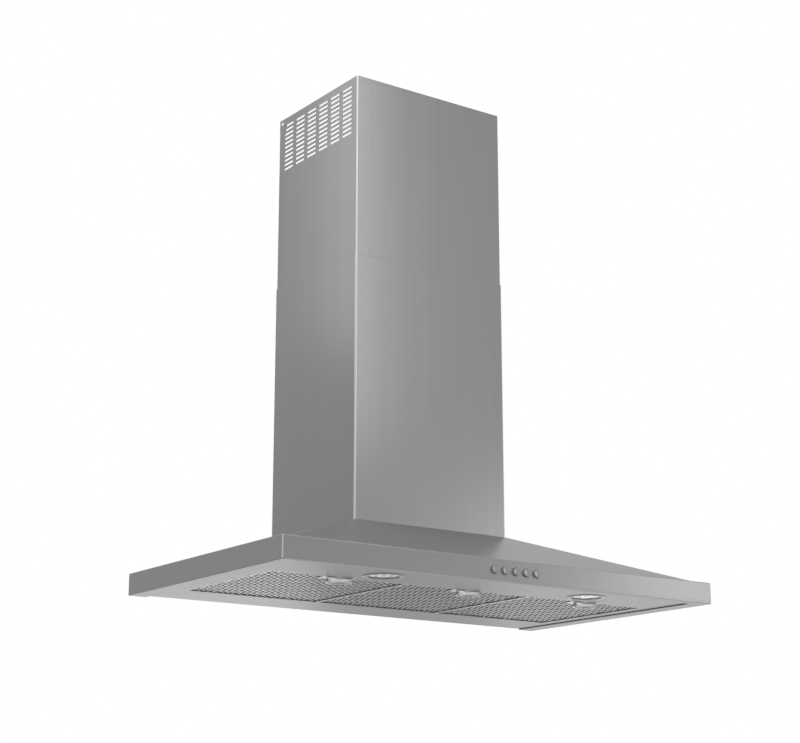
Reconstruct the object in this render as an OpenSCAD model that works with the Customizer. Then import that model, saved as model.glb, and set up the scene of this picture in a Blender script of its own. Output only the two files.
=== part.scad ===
// Wall-mounted chimney range hood. Millimetres, +Z up, -Y to the front, the wall is the plane y = 0.
// The origin is the centre of the four wall screws; inside the modules z starts at the hood's bottom edge.

/* [Canopy] */
// Width of the canopy across its front
hood_w = 898; // [880:1:1000]
// Depth of the canopy from the wall to its front
hood_d = 500; // [490:1:560]
// Height of the upright rim round the canopy
rim_h = 38; // [34:1:50]
// Flat ledge between the rim and the foot of the slopes
ledge_w = 12; // [6:1:20]
// Height of the canopy's flat top over its bottom edge
canopy_h = 124; // [110:1:140]
// Thickness of the brushed stainless sheet
sheet = 1; // [0.8:0.1:1.2]
// Outer radius of the upright bends at the corners
bend_r = 3; // [2:0.5:5]
// Width of the flange turned in under each side of the rim
side_flange_w = 35; // [25:1:40]
// Width of the flange turned in under the front of the rim
front_flange_w = 20; // [14:1:26]
// Width of the flat ring round the opening in the canopy's top
top_ring_w = 18; // [14:1:22]
// Height of the upstand that the lower cover is dropped over
upstand_h = 12; // [8:1:16]
// Thickness of the galvanised plates
plate = 1.2; // [1:0.1:1.6]

/* [Chimney covers] */
// Width of the lower cover
chim_w = 330; // [324:1:350]
// Depth of the lower cover
chim_d = 271; // [266:1:290]
// Height of the lower cover
lower_cover_h = 478; // [440:1:520]
// Height of the upper cover
upper_cover_h = 478; // [440:1:520]
// Length of upper cover that shows above the lower one
cover_rise = 342; // [300:1:380]
// Free space between the two covers on each side
cover_gap = 0.5; // [0.3:0.1:0.9]
// Width of the lower cover's returns against the wall plate
return_w = 15; // [13:1:18]
// Length of one vent slot
slot_l = 30; // [24:1:32]
// Height of one vent slot
slot_h = 4.4; // [3:0.2:5.6]
// Distance between neighbouring vent slots in a row
slot_pitch_y = 40; // [38:1:42]
// Distance between the rows of vent slots
slot_pitch_z = 8.9; // [8:0.1:10]
// Number of vent slots in a row
slot_cols = 6; // [3:1:6]
// Number of rows of vent slots
slot_rows = 11; // [4:1:14]
// Depth of the top row of vent slots under the cover's top edge
slot_top = 16; // [12:1:24]

/* [Grease filters] */
// Width of the panel beside the filters
side_margin = 55.5; // [50:0.5:80]
// Depth of the panel in front of the filters
front_margin = 121; // [116:1:140]
// Thickness of a filter's frame
frame_t = 9; // [8:0.5:12]
// Width of the lip that holds the mesh
lip_w = 2.5; // [2:0.5:5]
// Free space between neighbouring filters
filter_gap = 1; // [0.8:0.1:1.6]
// Width of the panel between the filters and the wall
back_margin = 97.5; // [90:0.5:110]
// Width of one cell of the mesh
cell_w = 30; // [28:1:34]
// Depth of half a cell of the mesh
cell_d = 19.5; // [18:0.5:24]
// Width of the strands between the cells
strand_w = 5; // [4:0.5:7]
// Travel of the latch
latch_travel = 5; // [4:0.5:6]
// Radius of the half-moon finger grip
grip_r = 24; // [20:1:26]
// Height of the finger grip's lip
grip_h = 7; // [5:0.5:10]

/* [Lamps] */
// Distance between the two lamps
lamp_pitch = 429; // [380:1:470]
// Outer radius of a lamp's bezel
bezel_r = 34.5; // [33:0.5:38]
// Radius of the hole in the panel
lamp_hole_r = 29.5; // [28:0.5:31]
// Height of a lamp's housing over the panel
lamp_h = 25; // [20:1:30]

/* [Buttons] */
// Radius of a button's cap
button_r = 6; // [5:0.25:7]
// Distance between neighbouring buttons
button_pitch = 22; // [19:0.5:26]
// How far a cap stands out of the rim
button_out = 4; // [3.5:0.25:6]
// Travel of a button
button_travel = 3; // [2:0.25:3.25]

/* [Blower] */
// Outer radius of the wheel
wheel_r = 71; // [66:1:73]
// Width of the wheel
wheel_w = 116; // [100:2:124]
// Number of the wheel's blades
blades = 32; // [20:1:36]
// Radius of the scroll at its tongue
scroll_r0 = 80; // [76:1:82]
// Radius of the scroll at its mouth
scroll_r1 = 112; // [104:1:114]
// Inner width of the scroll
scroll_w = 150; // [144:1:160]
// Height of the wheel's axis over the hood's bottom edge
fan_z = 230; // [226:1:240]
// Distance of the wheel's axis from the wall
fan_y = 105; // [104:1:108]
// Height of the scroll's mouth over the hood's bottom edge
mouth_z = 372; // [362:1:386]
// Outer radius of the duct collar
collar_r = 74.5; // [70:0.5:76]
// Height of the duct collar over its flange
collar_h = 50; // [40:1:60]

/* [Wall fixing] */
// Height of the middle of the wall screws over the hood's bottom edge
hang_h = 270; // [265:1:280]
// Distance between the wall screws across the wall
wall_pitch_x = 220; // [200:1:240]
// Distance between the wall screws up the wall
wall_pitch_z = 180; // [160:1:190]
// Radius of a wall screw's hole
wall_hole_r = 4.5; // [3.5:0.25:5.5]
// Height of the wall plate over the hood's bottom edge
plate_top = 400; // [390:1:420]

/* [Hidden] */
$fn = 64;
// Overrun of every cut
cut = 1;
// Space between pieces that lie in each other
fit = 0.25;
// Space between a piece that moves and what it rests on
seat = 0.3;
// Radial clearance of a running fit
run = 0.05;
// Thickness of a folded-back edge
hem = 2 * sheet;
// Screws: shank, head and hole
screw_r = 2;
screw_head_r = 3.6;
screw_head_h = 1.4;
flat_head_h = 0.9;
nut_h = 3.2;
screw_hole_r = screw_r + fit;
// Screw positions take this distance from an edge
edge = 9;

// Heights
panel_top = hem + sheet;
lower_top = canopy_h + lower_cover_h;
upper_top = lower_top + cover_rise;
upper_bottom = upper_top - upper_cover_h;

// Slopes of the canopy
rise = canopy_h - rim_h;
side_run = (hood_w - chim_w) / 2 - ledge_w;
front_run = hood_d - ledge_w - chim_d;

// Upper cover
upper_w = chim_w - 2 * (sheet + cover_gap);
upper_d = chim_d - sheet - cover_gap;
upper_back = plate + sheet + cover_gap;
bracket_leg = 24;
bracket_foot = 14;
bracket_h = 20;
bracket_drop = 8.5;

// Filter opening in the panel
side_clear = 1;
front_clear = 1;
back_clear = 1.5;
open_w = hood_w - 2 * side_margin;
open_back = -back_margin;
open_front = -hood_d + front_margin;
filter_front = open_front + front_clear;
filter_back = open_back - back_clear;
filter_w = (open_w - 2 * side_clear - 2 * filter_gap) / 3;
filter_pitch = filter_w + filter_gap;
tab_w = 30;
tab_l = 8;
tab_t = 1.5;
tab_x = 80;

// Angle bars on the panel
bar_foot = 8;
bar_h = 10;
bar_gap = 10;

// Latch
grip_t = 1.5;
grip_in = 1;
grip_y = filter_front + grip_in;
stem_w = 20;
stem_d = 4;
stem_in = 10;
stem_y = filter_front + stem_in;
keeper_w = 28;
keeper_d = 8;
keeper_t = 1;
latch_margin = 3;
latch_plate_w = 60;
latch_plate_d = stem_in + keeper_d + latch_travel + latch_margin;
nose_w = 16;
nose_t = 0.6;
nose_over = 4.4;
nose_tip = 3;

// Lamps
lamp_y = (open_front - hood_d + front_flange_w) / 2;
bezel_t = 1.2;
bezel_lip = 3.5;
bezel_in_r = lamp_hole_r - bezel_lip;
neck_r = lamp_hole_r - fit;
neck_h = 5;
lens_t = 2;
lamp_seat = 2.5;
lamp_body_r = lamp_hole_r + lamp_seat;
fin_t = 1.5;
fin_pitch = 4;
fin_cut = 3;

// Buttons and what is behind them
button_z = rim_h / 2;
button_hole_r = button_r + 2 * fit;
button_count = 5;
cap_in = 3.4;
cap_l = button_out + sheet + cap_in;
stem_r = 3.5;
stem_l = 12;
cap_edge = 0.8;
guide_over = 14;
guide_w = (button_count - 1) * button_pitch + 2 * guide_over;
guide_h = 20;
guide_wall = 4.4;
cap_back = -hood_d - button_out + cap_l;
guide_front = -hood_d + sheet + fit;
guide_seat = cap_back + button_travel + 2 * fit;
guide_back = guide_seat + guide_wall;
switch_front = cap_back + stem_l + button_travel + 2 * fit;
switch_l = 6;
switch_s = 8;
board_t = 1.6;
post_r = 3;

// Wall plate
tongue_in = 4;
tongue_w = chim_w - 2 * (sheet + tongue_in);

// Blower
rail_w = 14;
rail_t = 1.5;
rail_drop = 12;
rail_in = 3;
rail_l = chim_w - 2 * (2 * sheet + rail_in);
rail_front = -215;
rail_rear = -35;
foot_z = canopy_h + rail_t;
cheek_over = 11;
box_front = -fan_y - scroll_r1 - cheek_over;
box_back = -12;
throat_back = -62;
duct_y = (throat_back - fan_y - scroll_r1) / 2;
inlet_r = 57;
inlet_flange_r = 66;
inlet_lap = 3;
inlet_l = 6;
blade_t = 0.9;
blade_d = 15;
blade_in_r = wheel_r - blade_d;
disc_edge = 3.5;
ring_d = 10;
ring_l = 7;
blade_sweep = 16;
hub_disc_t = 2;
hub_r = 11;
hub_l = 18;
shaft_r = 4;
motor_r = 40;
motor_l = 52;
motor_gap = 6;
boss_r = 14;
boss_out = 1;
arm_w = 16;
arm_off = 2;
pad_r = 7;
arm_t = 2;
collar_flange = 12;

// Duct damper
rod_r = 2;
rod_up = 20;
rod_z = mouth_z + plate + rod_up;
knuckle_r = 3.4;
knuckle_l = 18;
flap_t = 0.8;
flap_edge = knuckle_r + 2 * fit;
flap_r = collar_r - sheet - 3 * seat;

// Control box and lamp driver
control_w = 110;
control_d = 64;
control_h = 30;
box_in = 104;
control_x = -hood_w / 2 + box_in;
control_y = -44;
box_wall = 1.5;
gland_r = 8;
gland_l = 14;
gland_bore_r = 4;
gland_in = 3.5;
lid_lip = 2;
capacitor_r = 12;
capacitor_l = 58;
driver_w = 86;
driver_d = 46;
driver_h = 24;
driver_foot_d = 22;
driver_foot_t = 2;

// Moves a piece drawn from the hood's bottom edge to the origin at the wall screws.
module hang() {
    translate([0, 0, -hang_h]) children();
}

// Draws an outline of (y, z) points across x, centred.
module across(width) {
    translate([-width / 2, 0, 0]) rotate([90, 0, 90]) linear_extrude(width) children();
}

// Draws an outline of (x, z) points from the plane y = back towards the front.
module forward(depth, back = 0) {
    translate([0, back, 0]) rotate([90, 0, 0]) linear_extrude(depth) children();
}

// A box centred in x, from y0 to y1 and from z0 to z1.
module slab(width, y0, y1, z0, z1) {
    translate([-width / 2, y0, z0]) cube([width, y1 - y0, z1 - z0]);
}

// A round piece along y, from y0 to y1.
module peg_y(r, y0, y1) {
    translate([0, y1, 0]) rotate([90, 0, 0]) cylinder(r = r, h = y1 - y0);
}

// A round piece along x, from x0 to x1.
module peg_x(r, x0, x1) {
    translate([x0, 0, 0]) rotate([0, 90, 0]) cylinder(r = r, h = x1 - x0);
}

// Plan of a sheet bent round its two front corners, from the wall line y = 0 forwards.
module bent_plan(w, d, r) {
    translate([-w / 2, -d + r]) square([w, d - r]);
    translate([-w / 2 + r, -d]) square([w - 2 * r, d]);
    for (side = [-1, 1]) translate([side * (w / 2 - r), -d + r]) circle(r);
}

// How far the inside line of a slope lies in from its outside line.
function slope_in(span) = sheet * (sqrt(span * span + rise * rise) - span) / rise;

// Outline of the canopy seen from the front, t inside the outer face.
function side_outline(t) = let (k = t > 0 ? slope_in(side_run) : 0, low = t > 0 ? -cut : 0) [
    [-hood_w / 2 + t, low],
    [-hood_w / 2 + t, rim_h - t],
    [-hood_w / 2 + ledge_w + k, rim_h - t],
    [-chim_w / 2 + k, canopy_h - t],
    [chim_w / 2 - k, canopy_h - t],
    [hood_w / 2 - ledge_w - k, rim_h - t],
    [hood_w / 2 - t, rim_h - t],
    [hood_w / 2 - t, low]
];

// Outline of the canopy seen from the side, t inside the outer face; the back stays open.
function front_outline(t) = let (k = t > 0 ? slope_in(front_run) : 0, low = t > 0 ? -cut : 0) [
    [-low, low],
    [-hood_d + t, low],
    [-hood_d + t, rim_h - t],
    [-hood_d + ledge_w + k, rim_h - t],
    [-chim_d + k, canopy_h - t],
    [-low, canopy_h - t]
];

// The canopy's solid form, t inside its outer face.
module canopy_form(t) {
    intersection() {
        forward(hood_d + 2 * cut, t > 0 ? cut : 0) polygon(side_outline(t));
        across(hood_w) polygon(front_outline(t));
        translate([0, t > 0 ? cut : 0, -cut])
            linear_extrude(canopy_h + 2 * cut)
                bent_plan(hood_w - 2 * t, hood_d - t + (t > 0 ? cut : 0), bend_r - t);
    }
}

// One sheet folded into rim, ledge, slopes and flat top, with hemmed flanges turned in underneath.
module canopy_shell() hang() color("silver") {
    ring_in_w = chim_w - 2 * top_ring_w;
    stand_w = chim_w - 2 * (sheet + fit);
    stand_d = chim_d - sheet - fit;
    difference() {
        canopy_form(0);
        canopy_form(sheet);
        slab(ring_in_w, -chim_d + top_ring_w, cut, canopy_h - sheet - cut, canopy_h + cut);
        slab(tongue_w + 2 * fit, -plate - fit, cut, canopy_h - sheet - cut, canopy_h + cut);
        for (i = [0 : button_count - 1])
            translate([button_x(i), 0, button_z]) peg_y(button_hole_r, -hood_d - cut, -hood_d + sheet + cut);
    }
    difference() {
        linear_extrude(hem) bent_plan(hood_w, hood_d, bend_r);
        slab(hood_w - 2 * side_flange_w, -hood_d + front_flange_w, cut, -cut, hem + cut);
    }
    translate([0, 0, canopy_h - sheet / 2]) linear_extrude(upstand_h + sheet / 2) difference() {
        bent_plan(stand_w, stand_d, bend_r - sheet);
        translate([-stand_w / 2 + sheet, -stand_d + sheet]) square([stand_w - 2 * sheet, stand_d]);
        translate([-stand_w / 2 - cut, -plate - sheet - fit]) square([stand_w + 2 * cut, chim_d]);
    }
}

// Flat panel lying on the flanges, open for the filters and the lamps.
module underside_panel() hang() color("gainsboro") {
    difference() {
        translate([0, 0, hem]) linear_extrude(sheet)
            bent_plan(hood_w - 2 * (sheet + fit), hood_d - sheet - fit, bend_r);
        slab(hood_w, -plate - fit, cut, hem - cut, panel_top + cut);
        slab(open_w, open_front, open_back, hem - cut, panel_top + cut);
        for (side = [-1, 1]) translate([side * lamp_pitch / 2, lamp_y, hem - cut])
            cylinder(r = lamp_hole_r, h = sheet + 2 * cut);
    }
}

// Two angle bars that keep the panel flat in front of the filters and behind them.
module panel_stiffeners() hang() color("darkgray") {
    difference() {
        for (y = [open_front - bar_gap, open_back + bar_gap])
            across(open_w) polygon(angle_outline(y, panel_top, y < open_front ? -bar_foot : bar_foot));
        for (side = [-1, 1]) translate([side * lamp_pitch / 2, lamp_y, panel_top - cut])
            cylinder(r = lamp_body_r + 2 * fit, h = bar_h + 2 * cut);
    }
}

// Outline of an angle bar whose foot runs from y by foot and whose upright stands at y.
function angle_outline(y, z, foot) = let (s = sign(foot)) [
    [y, z],
    [y + foot, z],
    [y + foot, z + sheet],
    [y + s * sheet, z + sheet],
    [y + s * sheet, z + bar_h],
    [y, z + bar_h]
];

// Galvanised plate that closes the canopy's back and carries the hood on the wall.
module wall_plate() hang() color("lightsteelblue") {
    k = slope_in(side_run);
    difference() {
        union() {
            forward(plate) polygon([
                [-hood_w / 2 + sheet + fit, panel_top + fit],
                [-hood_w / 2 + sheet + fit, rim_h - sheet - fit],
                [-hood_w / 2 + ledge_w + k + fit, rim_h - sheet - fit],
                [-chim_w / 2 + k + fit, canopy_h - sheet - fit],
                [chim_w / 2 - k - fit, canopy_h - sheet - fit],
                [hood_w / 2 - ledge_w - k - fit, rim_h - sheet - fit],
                [hood_w / 2 - sheet - fit, rim_h - sheet - fit],
                [hood_w / 2 - sheet - fit, panel_top + fit]
            ]);
            slab(tongue_w, -plate, 0, rim_h, plate_top);
        }
        for (x = [-1, 1], z = [-1, 1])
            translate([x * wall_pitch_x / 2, 0, hang_h + z * wall_pitch_z / 2])
                peg_y(wall_hole_r, -plate - cut, cut);
        at_lower_screws() peg_y(screw_hole_r, -plate - cut, cut);
    }
}

// Places of the screws that hold the lower cover's returns to the wall plate.
module at_lower_screws() {
    for (x = [-1, 1], z = [canopy_h + upstand_h + edge, plate_top - edge])
        translate([x * (tongue_w / 2 - screw_head_r), 0, z]) children();
}

// U-shaped lower cover with its two back edges turned in.
module lower_cover() hang() color("silver") {
    difference() {
        translate([0, 0, canopy_h]) linear_extrude(lower_cover_h) difference() {
            bent_plan(chim_w, chim_d, bend_r);
            translate([0, -plate - sheet]) bent_plan(chim_w - 2 * sheet, chim_d - plate - 2 * sheet, bend_r - sheet);
            translate([-chim_w / 2 + return_w, -plate - sheet - cut]) square([chim_w - 2 * return_w, chim_d]);
            translate([-chim_w, -plate]) square([2 * chim_w, chim_d]);
        }
        at_lower_screws() peg_y(screw_hole_r, -plate - sheet - cut, 0);
    }
}

// Pan-head screws through the lower cover's returns.
module lower_cover_screws() hang() color("dimgray") {
    at_lower_screws() {
        peg_y(screw_r, -plate - sheet, 0);
        peg_y(screw_head_r, -plate - sheet - screw_head_h, -plate - sheet);
    }
}

// Place of the side screws of the upper cover and of its wall brackets.
bracket_y = -bracket_leg / 2;
bracket_z = upper_top - bracket_drop;

// U-shaped upper cover that slides inside the lower one, with rows of vent slots in both sides.
module upper_cover() hang() color("silver") {
    slots_l = (slot_cols - 1) * slot_pitch_y;
    difference() {
        translate([0, 0, upper_bottom]) linear_extrude(upper_cover_h) difference() {
            bent_plan(upper_w, upper_d, bend_r - sheet);
            translate([0, cut]) bent_plan(upper_w - 2 * sheet, upper_d - sheet + cut, bend_r - 2 * sheet);
            translate([-upper_w, -upper_back]) square([2 * upper_w, upper_d]);
        }
        for (i = [0 : slot_cols - 1], j = [0 : slot_rows - 1])
            slab(
                upper_w + 2 * cut,
                -chim_d / 2 - slots_l / 2 + i * slot_pitch_y - slot_l / 2,
                -chim_d / 2 - slots_l / 2 + i * slot_pitch_y + slot_l / 2,
                upper_top - slot_top - j * slot_pitch_z - slot_h / 2,
                upper_top - slot_top - j * slot_pitch_z + slot_h / 2
            );
        translate([0, bracket_y, bracket_z]) peg_x(screw_hole_r, -upper_w / 2 - cut, upper_w / 2 + cut);
    }
}

// Two angle brackets on the wall that the top of the upper cover is screwed to.
module upper_cover_brackets() hang() color("lightsteelblue") {
    out_x = upper_w / 2 - sheet - fit;
    for (side = [0, 1]) mirror([side, 0, 0]) difference() {
        translate([0, 0, bracket_z - bracket_h / 2]) linear_extrude(bracket_h) {
            translate([out_x - plate, -bracket_leg]) square([plate, bracket_leg]);
            translate([out_x - bracket_foot, -plate]) square([bracket_foot, plate]);
        }
        translate([0, bracket_y, bracket_z]) peg_x(screw_hole_r, out_x - plate - cut, out_x + cut);
        translate([out_x - bracket_foot / 2 - plate, 0, bracket_z]) peg_y(screw_hole_r, -plate - cut, cut);
    }
}

// One pan-head screw in each side of the upper cover.
module upper_cover_screws() hang() color("dimgray") {
    for (side = [0, 1]) mirror([side, 0, 0]) translate([0, bracket_y, bracket_z]) {
        peg_x(screw_r, upper_w / 2 - 2 * sheet - fit - plate, upper_w / 2);
        peg_x(screw_head_r, upper_w / 2, upper_w / 2 + flat_head_h);
    }
}

// Channel frame folded round one filter, with two tabs behind and the latch plate in front.
module filter_frame(place) hang() color("lightgray") translate([place * filter_pitch, 0, 0]) {
    top = hem + frame_t;
    difference() {
        union() {
            difference() {
                slab(filter_w, filter_front, filter_back, hem, top);
                slab(filter_w - 2 * sheet, filter_front + sheet, filter_back - sheet, hem + sheet, top - sheet);
                slab(filter_w - 2 * lip_w, filter_front + lip_w, filter_back - lip_w, hem - cut, top + cut);
            }
            slab(latch_plate_w, filter_front + sheet / 2, filter_front + latch_plate_d, hem, hem + sheet);
        }
        slab(stem_w + 2 * seat, stem_y - seat, stem_y + stem_d + latch_travel + seat, hem - cut, hem + sheet + cut);
        slab(nose_w + 2 * seat, filter_front - cut, filter_front + sheet + cut, panel_top, nose_z + nose_t + 2 * seat);
    }
    for (side = [-1, 1]) translate([side * tab_x, 0, 0])
        slab(tab_w, filter_back - sheet / 2, filter_back + tab_l, panel_top + seat, panel_top + seat + tab_t);
}

// Openwork pack of expanded mesh held in the frame's channel, its layers drawn as one.
module filter_mesh(place) hang() color("darkgray") translate([place * filter_pitch, 0, 0]) {
    w = filter_w - 2 * (sheet + fit);
    d = filter_back - filter_front - 2 * (sheet + fit);
    cols = floor((w - 2 * lip_w) / cell_w);
    rows = floor((d - 2 * lip_w) / cell_d) - 1;
    mid = (filter_front + filter_back) / 2;
    notch_w = latch_plate_w + 2 * fit;
    notch_y = filter_front + latch_plate_d + fit;
    translate([0, 0, hem + sheet + fit]) linear_extrude(frame_t - 2 * (sheet + fit)) difference() {
        translate([-w / 2, mid - d / 2]) square([w, d]);
        translate([-notch_w / 2, mid - d]) square([notch_w, notch_y - mid + d]);
        for (j = [0 : rows - 1]) let (odd = j % 2, count = cols - odd) for (i = [0 : count - 1]) {
            x = (i - (count - 1) / 2) * cell_w;
            y = mid + (j - (rows - 1) / 2) * cell_d;
            clear_of_latch = abs(x) - cell_w / 2 > notch_w / 2 || y - cell_d > notch_y;
            if (clear_of_latch) translate([x, y]) mesh_cell();
        }
    }
}

// One diamond opening of the mesh.
module mesh_cell() {
    half_w = (cell_w - strand_w) / 2;
    half_d = cell_d - strand_w / 2;
    polygon([[-half_w, 0], [0, -half_d], [half_w, 0], [0, half_d]]);
}

// Height of the underside of the latch's spring nose
nose_z = panel_top + seat + keeper_t;

// Half-moon finger grip that slides under the frame's front lip, with its stem and keeper.
module latch_grip(place) hang() color("whitesmoke") translate([place * filter_pitch, 0, 0]) {
    plate_z = hem - seat - grip_t;
    translate([0, grip_y, 0]) {
        translate([0, 0, plate_z]) linear_extrude(grip_t) difference() {
            circle(grip_r);
            translate([-grip_r - cut, -2 * grip_r]) square([2 * (grip_r + cut), 2 * grip_r]);
            circle(stem_in - grip_in - sheet);
        }
        translate([0, 0, plate_z + grip_t / 2 - grip_h]) linear_extrude(grip_h) difference() {
            circle(grip_r);
            circle(grip_r - grip_t);
            translate([-grip_r - cut, -2 * grip_r + grip_t]) square([2 * (grip_r + cut), 2 * grip_r]);
        }
    }
    slab(stem_w, stem_y, stem_y + stem_d, plate_z + grip_t / 2, panel_top + seat);
    slab(keeper_w, stem_y, stem_y + keeper_d, panel_top + seat, nose_z);
}

// Leaf of spring steel on the keeper; its nose lies over the panel's edge and holds the filter up.
module latch_nose(place) hang() color("slategray") translate([place * filter_pitch, 0, 0]) {
    tip_y = open_front - nose_over;
    across(nose_w) polygon([
        [stem_y + keeper_d, nose_z],
        [stem_y + keeper_d, nose_z + nose_t],
        [tip_y, nose_z + nose_t],
        [tip_y, panel_top + seat + nose_t],
        [tip_y + nose_t, panel_top + seat],
        [tip_y + nose_tip, nose_z]
    ]);
}

// Thin ring that frames a lamp, with a neck through the panel.
module lamp_bezel(side) hang() color("silver") translate([side * lamp_pitch / 2, lamp_y, 0]) {
    rotate_extrude() polygon([
        [bezel_in_r, hem - bezel_t / 2],
        [bezel_in_r + bezel_t, hem - bezel_t],
        [bezel_r - bezel_t, hem - bezel_t],
        [bezel_r, hem - bezel_t / 3],
        [bezel_r, hem],
        [neck_r, hem],
        [neck_r, panel_top + neck_h],
        [neck_r - sheet, panel_top + neck_h],
        [neck_r - sheet, hem + lens_t],
        [bezel_in_r, hem + lens_t]
    ]);
}

// Frosted lens, a little domed downwards.
module lamp_lens(side) hang() color("ivory") translate([side * lamp_pitch / 2, lamp_y, 0]) {
    r = bezel_in_r - fit;
    rotate_extrude() polygon(concat(
        [[0, hem + lens_t]],
        [for (i = [0 : 8]) [r * i / 8, hem - bezel_t / 2 * pow(cos(90 * i / 8), 2) + fit]],
        [[r, hem + lens_t]]
    ));
}

// Finned aluminium housing of a lamp, seated on the panel.
module lamp_housing(side) hang() color("gray") translate([side * lamp_pitch / 2, lamp_y, 0]) {
    fins = floor((lamp_h - neck_h - fin_pitch) / fin_pitch);
    difference() {
        translate([0, 0, panel_top]) cylinder(r = lamp_body_r, h = lamp_h);
        translate([0, 0, panel_top - cut]) cylinder(r = neck_r + fit, h = neck_h + fit + cut);
        for (i = [0 : fins - 1])
            translate([0, 0, panel_top + neck_h + fin_t + i * fin_pitch]) difference() {
                cylinder(r = lamp_body_r + cut, h = fin_pitch - fin_t);
                translate([0, 0, -cut]) cylinder(r = lamp_body_r - fin_cut, h = fin_pitch - fin_t + 2 * cut);
            }
    }
}

// Round light-diode boards pressed against the housings' floors.
module led_boards() hang() color("khaki") {
    for (side = [-1, 1]) translate([side * lamp_pitch / 2, lamp_y, panel_top + neck_h + fit - board_t])
        cylinder(r = neck_r - sheet - fit, h = board_t);
}

// Distance of button i from the hood's middle.
function button_x(i) = (i - (button_count - 1) / 2) * button_pitch;

// One push button: a cap with a broken edge and a stem that works the switch.
module button(i) hang() color("silver") translate([button_x(i), -hood_d - button_out, button_z]) {
    rotate([-90, 0, 0]) rotate_extrude() polygon([
        [0, cap_edge / 3],
        [button_r - 2 * cap_edge, 0],
        [button_r - cap_edge / 3, cap_edge / 3],
        [button_r, cap_edge],
        [button_r, cap_l],
        [stem_r, cap_l],
        [stem_r, cap_l + stem_l],
        [0, cap_l + stem_l]
    ]);
}

// Moulded bar behind the rim with one stepped bore for each button.
module button_guide() hang() color("dimgray") {
    difference() {
        slab(guide_w, guide_front, guide_back, button_z - guide_h / 2, button_z + guide_h / 2);
        for (i = [0 : button_count - 1]) translate([button_x(i), 0, button_z]) {
            peg_y(button_r + seat, guide_front - cut, guide_seat);
            peg_y(stem_r + run, guide_front, guide_back + cut);
        }
    }
    for (side = [-1, 1]) translate([side * (guide_w / 2 - post_r - sheet), 0, button_z])
        peg_y(post_r, guide_back - sheet, switch_front + switch_l);
}

// Circuit board on the guide's posts, with one switch behind each button.
module switch_board() hang() color("seagreen") {
    board_y = switch_front + switch_l;
    slab(guide_w, board_y, board_y + board_t, button_z - guide_h / 2, button_z + guide_h / 2);
    for (i = [0 : button_count - 1]) translate([button_x(i), 0, 0])
        slab(switch_s, switch_front, board_y + board_t / 2, button_z - switch_s / 2, button_z + switch_s / 2);
}

// Two bars across the opening in the canopy's top, which carry the blower; a flange stiffens each.
module blower_rails() hang() color("lightsteelblue") {
    for (y = [rail_front, rail_rear]) {
        slab(rail_l, y - rail_w / 2, y + rail_w / 2, canopy_h, canopy_h + rail_t);
        slab(
            chim_w - 2 * (top_ring_w + fit), y - rail_w / 2, y - rail_w / 2 + rail_t,
            canopy_h - rail_drop, canopy_h + rail_t / 2
        );
    }
}

// Angles at which the scroll starts at its tongue and ends at the front of its mouth
tongue_a = 10;
mouth_a = 270;
tongue_r = 2;

// Point of the scroll at angle a past the top of the wheel, t outside its inner face.
function scroll_point(a, t) = let (r = scroll_r0 + (scroll_r1 - scroll_r0) * a / mouth_a + t)
    [-fan_y + r * sin(a), fan_z + r * cos(a)];

// The scroll's path from its tongue round the wheel and up the front of its mouth.
function scroll_path(t) = concat(
    [for (a = [tongue_a : tongue_a : mouth_a]) scroll_point(a, t)],
    [[-fan_y - scroll_r1 - t, mouth_z]]
);
function backwards(list) = [for (i = [len(list) - 1 : -1 : 0]) list[i]];

// Spiral wrapper of the fan's casing, from its tongue round the wheel to the mouth at the top.
module scroll_wrapper() hang() color("lightsteelblue") {
    tongue = scroll_point(tongue_a, 0);
    throat_t = sheet * norm([throat_back, mouth_z] - tongue) / (mouth_z - tongue[1]);
    across(scroll_w) {
        translate(tongue) circle(tongue_r);
        polygon(concat(scroll_path(0), backwards(scroll_path(sheet))));
        polygon([
            tongue,
            [throat_back, mouth_z],
            [throat_back + throat_t, mouth_z],
            [tongue[0] + throat_t, tongue[1]]
        ]);
    }
}

// Flat cheek that closes one side of the casing, with a round inlet and a foot on the rails.
module scroll_cheek(side) hang() color("lightsteelblue") {
    mirror([side < 0 ? 1 : 0, 0, 0]) difference() {
        union() {
            translate([scroll_w / 2, box_front, foot_z])
                cube([plate, box_back - box_front, mouth_z - foot_z]);
            translate([scroll_w / 2, box_front, foot_z])
                cube([plate + rail_w, box_back - box_front, plate]);
        }
        translate([0, -fan_y, fan_z]) peg_x(inlet_flange_r - inlet_lap, scroll_w / 2 - cut, scroll_w / 2 + plate + cut);
        at_bracket_screws() peg_x(screw_hole_r, scroll_w / 2 - cut, scroll_w / 2 + plate + cut);
    }
}

// Bell-mouth ring in one inlet.
module inlet_ring(side) hang() color("silver") {
    throat = inlet_r - sheet;
    mirror([side < 0 ? 1 : 0, 0, 0])
        translate([scroll_w / 2 + plate, -fan_y, fan_z]) rotate([0, 90, 0]) rotate_extrude() polygon(concat(
            [for (a = [0 : 15 : 90]) [throat + inlet_l * (1 - cos(a)), -inlet_l + (inlet_l + sheet) * sin(a)]],
            [[inlet_flange_r, sheet], [inlet_flange_r, 0]],
            [for (a = [90 : -15 : 0]) [throat + sheet + inlet_l * (1 - cos(a)), -inlet_l + inlet_l * sin(a)]]
        ));
}

// Places of the screws that hold the motor bracket's arms to a cheek.
module at_bracket_screws() {
    for (a = [45 : 90 : 315])
        translate([0, -fan_y + (inlet_flange_r + edge) * cos(a), fan_z + (inlet_flange_r + edge) * sin(a)])
            children();
}

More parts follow.
